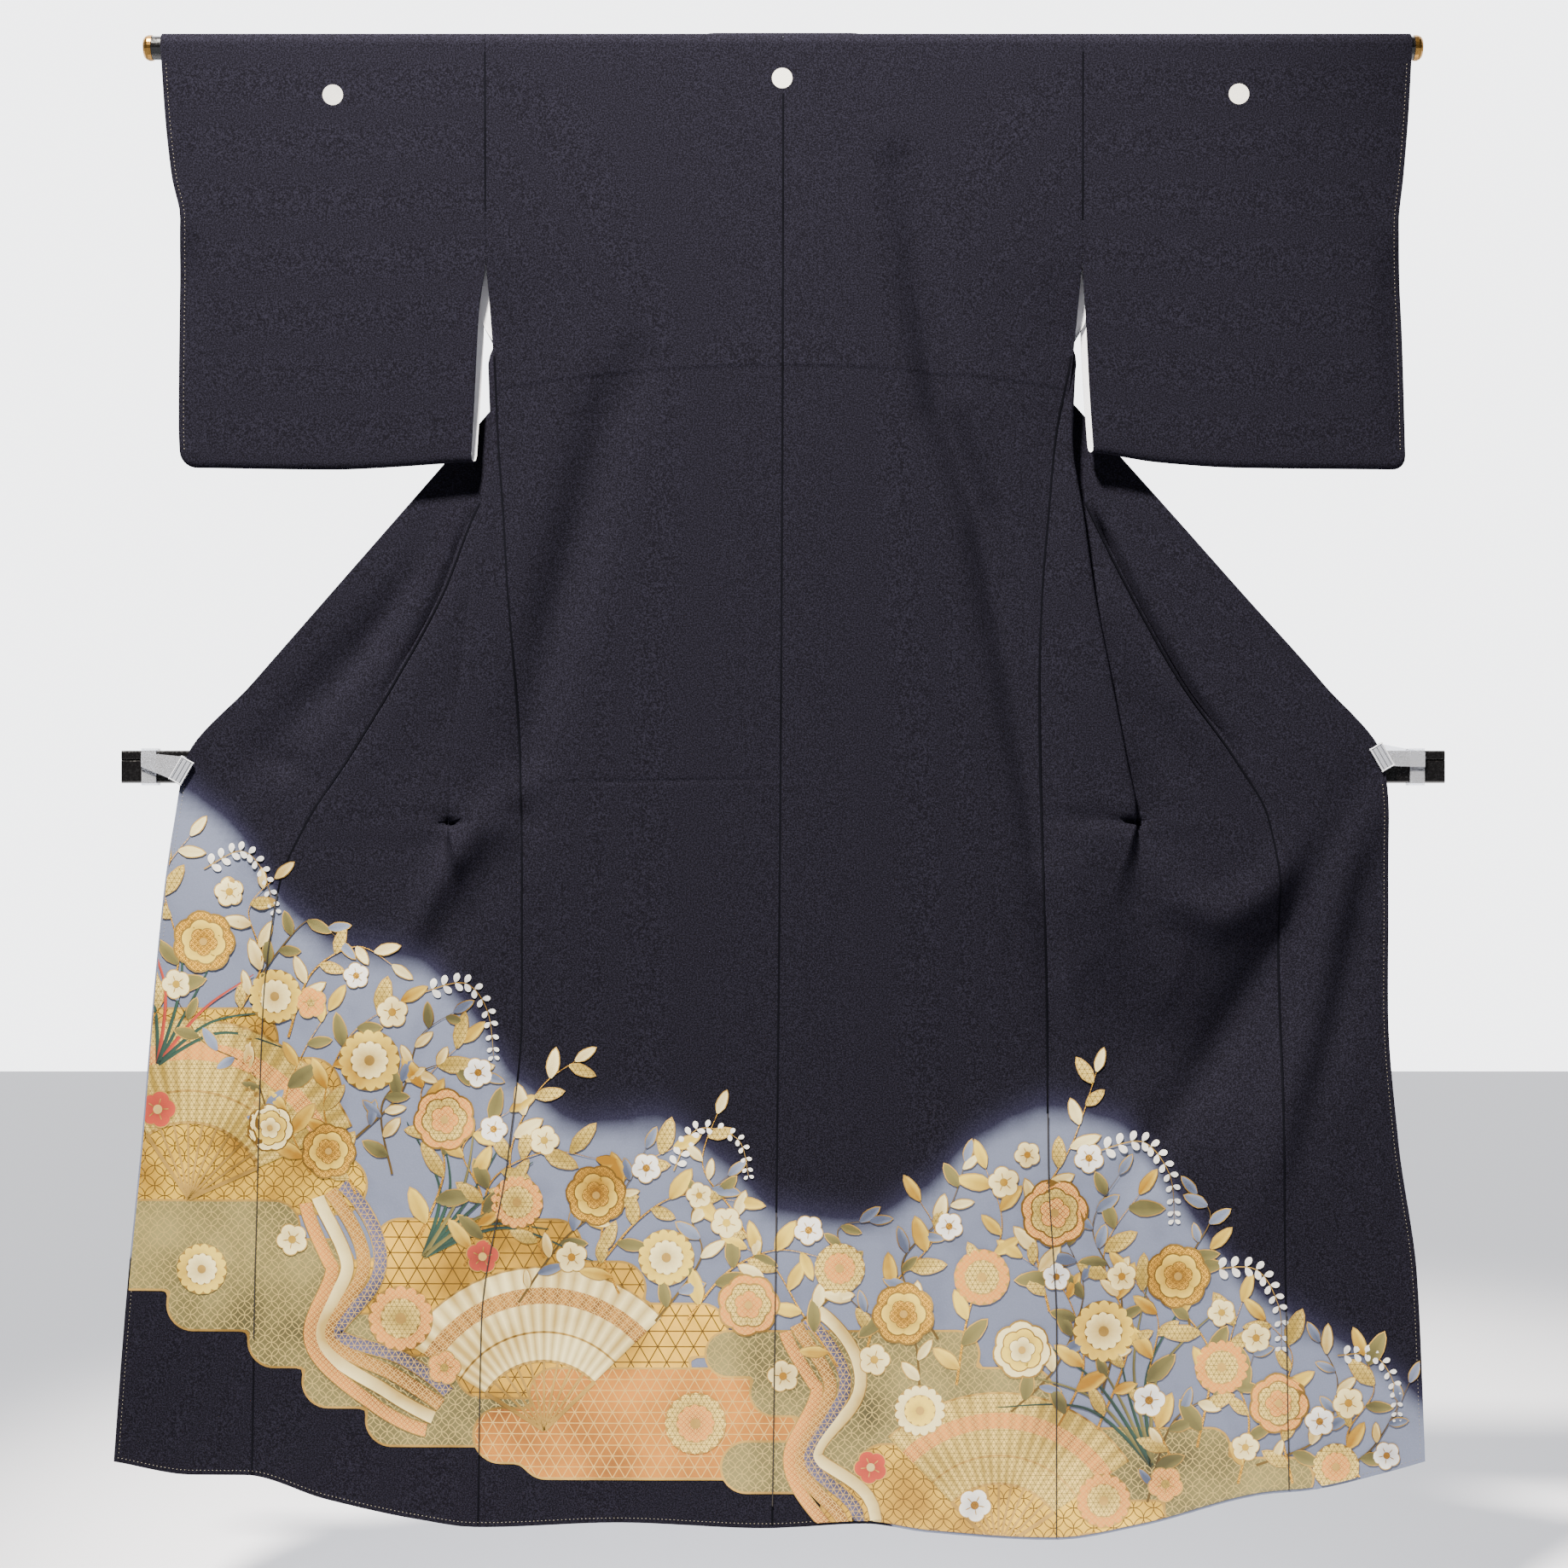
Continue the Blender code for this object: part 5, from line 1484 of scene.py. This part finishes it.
tree = clothTree()
for name, store in drawing.items():
    laid = lay(tree, store["points"])
    faces = layFaces(laid, store["faces"])
    data = newMesh("art_" + name, [p or (0, 0, 0) for p in laid], [], faces)
    tones = data.attributes.new("tone", "FLOAT", "POINT")
    tones.data.foreach_set("value", [p[3] for p in store["points"]])
    tidy = bmesh.new()
    tidy.from_mesh(data)
    bmesh.ops.delete(tidy, geom=[v for v in tidy.verts if not v.link_faces], context="VERTS")
    tidy.to_mesh(data)
    tidy.free()
    data.shade_smooth()
    data.materials.append(makeInk(name, *inks[name]))
    painted = addObject("art_" + name, data)
    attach(painted, "root")
drawn = sum(len(store["faces"]) for store in drawing.values())
print("design:", drawn, "faces in", len(drawing), "colours")


# Stitches and ribs: small forms set at even gaps along lines, by one node group.
def addAlongGroup():
    group = bpy.data.node_groups.new("along_line", "GeometryNodeTree")
    sockets = {}
    for name, kind in (("Geometry", "Geometry"), ("Gap", "Float"), ("Thick", "Float"), ("Long", "Float"),
                       ("Material", "Material")):
        sockets[name] = group.interface.new_socket(name, in_out="INPUT", socket_type="NodeSocket" + kind)
    group.interface.new_socket("Geometry", in_out="OUTPUT", socket_type="NodeSocketGeometry")
    given, result, curve, points, bead, size, copies, real, coat = [group.nodes.new(kind) for kind in (
        "NodeGroupInput", "NodeGroupOutput", "GeometryNodeMeshToCurve", "GeometryNodeCurveToPoints",
        "GeometryNodeMeshUVSphere", "ShaderNodeCombineXYZ", "GeometryNodeInstanceOnPoints",
        "GeometryNodeRealizeInstances", "GeometryNodeSetMaterial")]
    points.mode = "LENGTH"
    for name, value in (("Segments", 6), ("Rings", 4), ("Radius", 0.5)):
        bead.inputs[name].default_value = value
    for source, output, target, socket in (
            (given, "Geometry", curve, "Mesh"), (curve, "Curve", points, "Curve"),
            (given, "Gap", points, "Length"), (given, "Thick", size, "X"), (given, "Thick", size, "Y"),
            (given, "Long", size, "Z"), (points, "Points", copies, "Points"),
            (points, "Rotation", copies, "Rotation"), (bead, "Mesh", copies, "Instance"),
            (size, "Vector", copies, "Scale"), (copies, "Instances", real, "Geometry"),
            (real, "Geometry", coat, "Geometry"), (given, "Material", coat, "Material"),
            (coat, "Geometry", result, "Geometry")):
        group.links.new(source.outputs[output], target.inputs[socket])
    return group, sockets


alongGroup, alongSockets = addAlongGroup()


def setAlong(name, lines, gap, thick, long, material):
    # lines of points in metres become one plain mesh of small forms
    points, edges = [], []
    for line in lines:
        first = len(points)
        points += line
        edges += [(first + i, first + i + 1) for i in range(len(line) - 1)]
    path = addObject(name + "_lines", newMesh(name + "_lines", points, edges, []))
    modifier = path.modifiers.new("along", "NODES")
    modifier.node_group = alongGroup
    for key, value in (("Gap", gap * mm), ("Thick", thick * mm), ("Long", long * mm),
                       ("Material", material)):
        modifier[alongSockets[key].identifier] = value
    graph = bpy.context.evaluated_depsgraph_get()
    plain = bpy.data.meshes.new_from_object(path.evaluated_get(graph))
    plain.name = name
    bpy.data.objects.remove(path)
    plain.shade_smooth()
    piece = addObject(name, plain)
    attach(piece, "root")
    return len(plain.polygons)


# Stitches that hold the lining along the hem, the fronts' edges and the cuffs.
stitch = {"gap": 4.4, "long": 1.5, "thick": 0.62, "inset": 5.0, "rise": 0.16, "colour": "#8f8877",
          "step": 3.0, "hem": (-732, 702), "front": (812, 1615), "cuff": (22, 442), "jump": 2.0}


def stitchLine(places):
    # x and drop on the cloth's outer side; a new line starts where there is no cloth or a step in it
    lines, line = [], []
    for x, drop in places:
        spot = castOn(tree, x, drop)[0]
        if spot is None or (line and abs(spot.y - line[-1][1]) > stitch["jump"] * mm):
            lines.append(line)
            line = []
        if spot is not None:
            line.append((spot.x, spot.y - (cloth["wall"] / 2 + stitch["rise"]) * mm, spot.z))
    return [line for line in lines + [line] if len(line) > 1]


threadMaterial = newMaterial("silk_thread", stitch["colour"], 0.6)[0]
hem, front, cuff = [steps(*stitch[part], stitch["step"]) for part in ("hem", "front", "cuff")]
paths = stitchLine([(x, readLine(hemLine, x) - stitch["inset"]) for x in hem])
for side in sides:
    inset = signOf(side) * stitch["inset"]
    line = [(signOf(side) * outOf(side, "edge", level), level) for level in front]
    paths += stitchLine([(x - inset, hemDrop(x, level)) for x, level in line])
    line = [(signOf(side) * readLine(sleeve["cuff"][side], drop), drop) for drop in cuff]
    paths += stitchLine([(x - inset, drop) for x, drop in line])
stitched = setAlong("stitches", paths, stitch["gap"], stitch["thick"], stitch["long"], threadMaterial)
print("stitches:", stitched, "faces")


# Rod and rail: black urushi lacquer polished over wood, with faint waviness.
def makeLacquer():
    material, shader = newMaterial("black_lacquer", "#0b0a0b", 0.22, coat=0.6)
    shader.inputs["Coat Roughness"].default_value = 0.08
    coords = objectCoords(material)
    rough = ranged(material, noise(material, coords, 380.0, 3.0), 0.4, 0.75, 0.16, 0.4)
    connect(material, rough, shader, "Roughness")
    addBump(material, shader, noise(material, coords, 45.0, 2.0), 0.15, 0.0006)
    return material


# Rod caps: turned brass, polished and a little tarnished.
def makeBrass():
    material, shader = newMaterial("turned_brass", "#b98a45", 0.28, metallic=1.0)
    patina = noise(material, objectCoords(material), 120.0, 4.0)
    connect(material, mixed(material, patina, "#8f6530", "#c99c55"), shader, "Base Color")
    return material


# Clips and straps: clear moulded polystyrene with a faint grey tint.
def makeClearPlastic(name, colour, transmission, roughness):
    material, shader = newMaterial(name, colour, roughness)
    shader.inputs["Transmission Weight"].default_value = transmission
    shader.inputs["IOR"].default_value = 1.5
    addBump(material, shader, noise(material, objectCoords(material), 90.0, 2.0), 0.2, 0.0005)
    return material


lacquer, brass = makeLacquer(), makeBrass()
clearPlastic = makeClearPlastic("clear_plastic", "#e3e6ee", 0.75, 0.12)
jawPlastic = makeClearPlastic("clear_plastic_jaw", "#b4b8c2", 0.35, 0.25)
wears = {"rod": lacquer, "rail": lacquer, "rod_cap_left": brass, "rod_cap_right": brass}
for side in sides:
    wears["clip_front_" + side] = jawPlastic
    wears["clip_back_" + side] = wears["strap_" + side] = clearPlastic
for name, material in wears.items():
    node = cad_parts[name]
    for holder in node.material_slots:
        holder.material = material

# Ribs moulded on the face of each near jaw, within a raised rim.
jaw = {"left": (-664.0, 797.0), "right": (661.0, 782.0), "lean": 30.0, "length": 29.0, "inner": -6.5,
       "outer": 9.1, "gap": 0.9, "long": 3.04, "ribs": 3, "ribThick": 0.9, "ribInset": 2.9, "ribEnd": 2.2,
       "rimThick": 1.3, "rimInset": 0.7, "rimEnd": 0.8}


def jawLines(side):
    # the jaw's near face is the node's lowest y
    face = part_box("clip_front_" + side)[0][1]
    x, drop = jaw[side]
    lean = math.radians(jaw["lean"])
    half = jaw["length"] / 2 - jaw["rimEnd"]

    def at(away, along):
        return ((x + signOf(side) * (away * math.cos(lean) - along * math.sin(lean))) * mm, face,
                (-drop + away * math.sin(lean) + along * math.cos(lean)) * mm)

    reach = steps(-half + jaw["ribEnd"], half - jaw["ribEnd"], 1.0)
    ribs = [[at(away, along) for along in reach]
            for away in evenly(jaw["inner"] + jaw["ribInset"], jaw["outer"] - jaw["ribInset"], jaw["ribs"])]
    inner, outer = jaw["inner"] + jaw["rimInset"], jaw["outer"] - jaw["rimInset"]
    corners = [(inner, -half), (outer, -half), (outer, half), (inner, half), (inner, -half)]
    rim = [[at(*spot) for spot in spread(first, second, 16)] for first, second in zip(corners, corners[1:])]
    return ribs, rim


ribPlastic = makeClearPlastic("clear_plastic_rib", "#4a4d55", 0.2, 0.3)
rimPlastic = makeClearPlastic("clear_plastic_rim", "#eef0f5", 0.2, 0.2)
for side in sides:
    ribs, rim = jawLines(side)
    for name, lines, thick, plastic in (("clip_ribs_", ribs, jaw["ribThick"], ribPlastic),
                                        ("clip_rim_", rim, jaw["rimThick"], rimPlastic)):
        setAlong(name + side, lines, jaw["gap"], thick, jaw["long"], plastic)
print("fittings: materials and ribs")


# Camera, light and floor: the photograph is taken straight on, from about three metres.
view = {"distance": 3.0, "width": 1.728, "x": 0.001, "z": -0.811}
camera = bpy.data.cameras.new("camera")
camera.sensor_width = 36.0
camera.lens = camera.sensor_width * view["distance"] / view["width"]
cameraObject = addObject("camera", camera)
cameraObject.location = (view["x"], -view["distance"], view["z"])
cameraObject.rotation_euler = (math.pi / 2, 0, 0)
bpy.context.scene.camera = cameraObject

lamp = {"power": 4800, "cone": 35, "blend": 0.7, "radius": 0.22, "colour": "#fff8ee",
        "at": (-0.9, -1.8, 3.0), "aim": (0, 0, -0.75)}
key = bpy.data.lights.new("key", "SPOT")
key.energy = lamp["power"]
key.spot_size = math.radians(lamp["cone"])
key.spot_blend = lamp["blend"]
key.shadow_soft_size = lamp["radius"]
key.color = hexColour(lamp["colour"])[:3]
keyLight = addObject("key", key)
keyLight.location = lamp["at"]
toAim = Vector(lamp["aim"]) - Vector(lamp["at"])
keyLight.rotation_euler = toAim.to_track_quat("-Z", "Y").to_euler()

# the studio is white behind the garment and dimmer behind the camera
world = bpy.data.worlds.new("studio")
world.use_nodes = True
background = world.node_tree.nodes["Background"]
background.inputs["Color"].default_value = hexColour("#f7f8fb")
direction = addNode(world, "ShaderNodeTexCoord"), "Generated"
split = addNode(world, "ShaderNodeSeparateXYZ", {}, {"Vector": direction})
level, output = ranged(world, (split, "Y"), 0.05, 0.6, 0.10, 4.6)
level.interpolation_type = "SMOOTHSTEP"
connect(world, (level, output), background, "Strength")
bpy.context.scene.world = world

floorHeight, floorHalf = cadBox[0][2] - 0.12, 6
corners = [(x * floorHalf, y * floorHalf, floorHeight) for x, y in ((-1, -1), (1, -1), (1, 1), (-1, 1))]
floorMesh = newMesh("floor", corners, [], [(0, 1, 2, 3)])
floorMesh.materials.append(newMaterial("pale_floor", "#d2d2d6", 0.8)[0])
floor = addObject("floor", floorMesh)

bpy.context.view_layer.update()
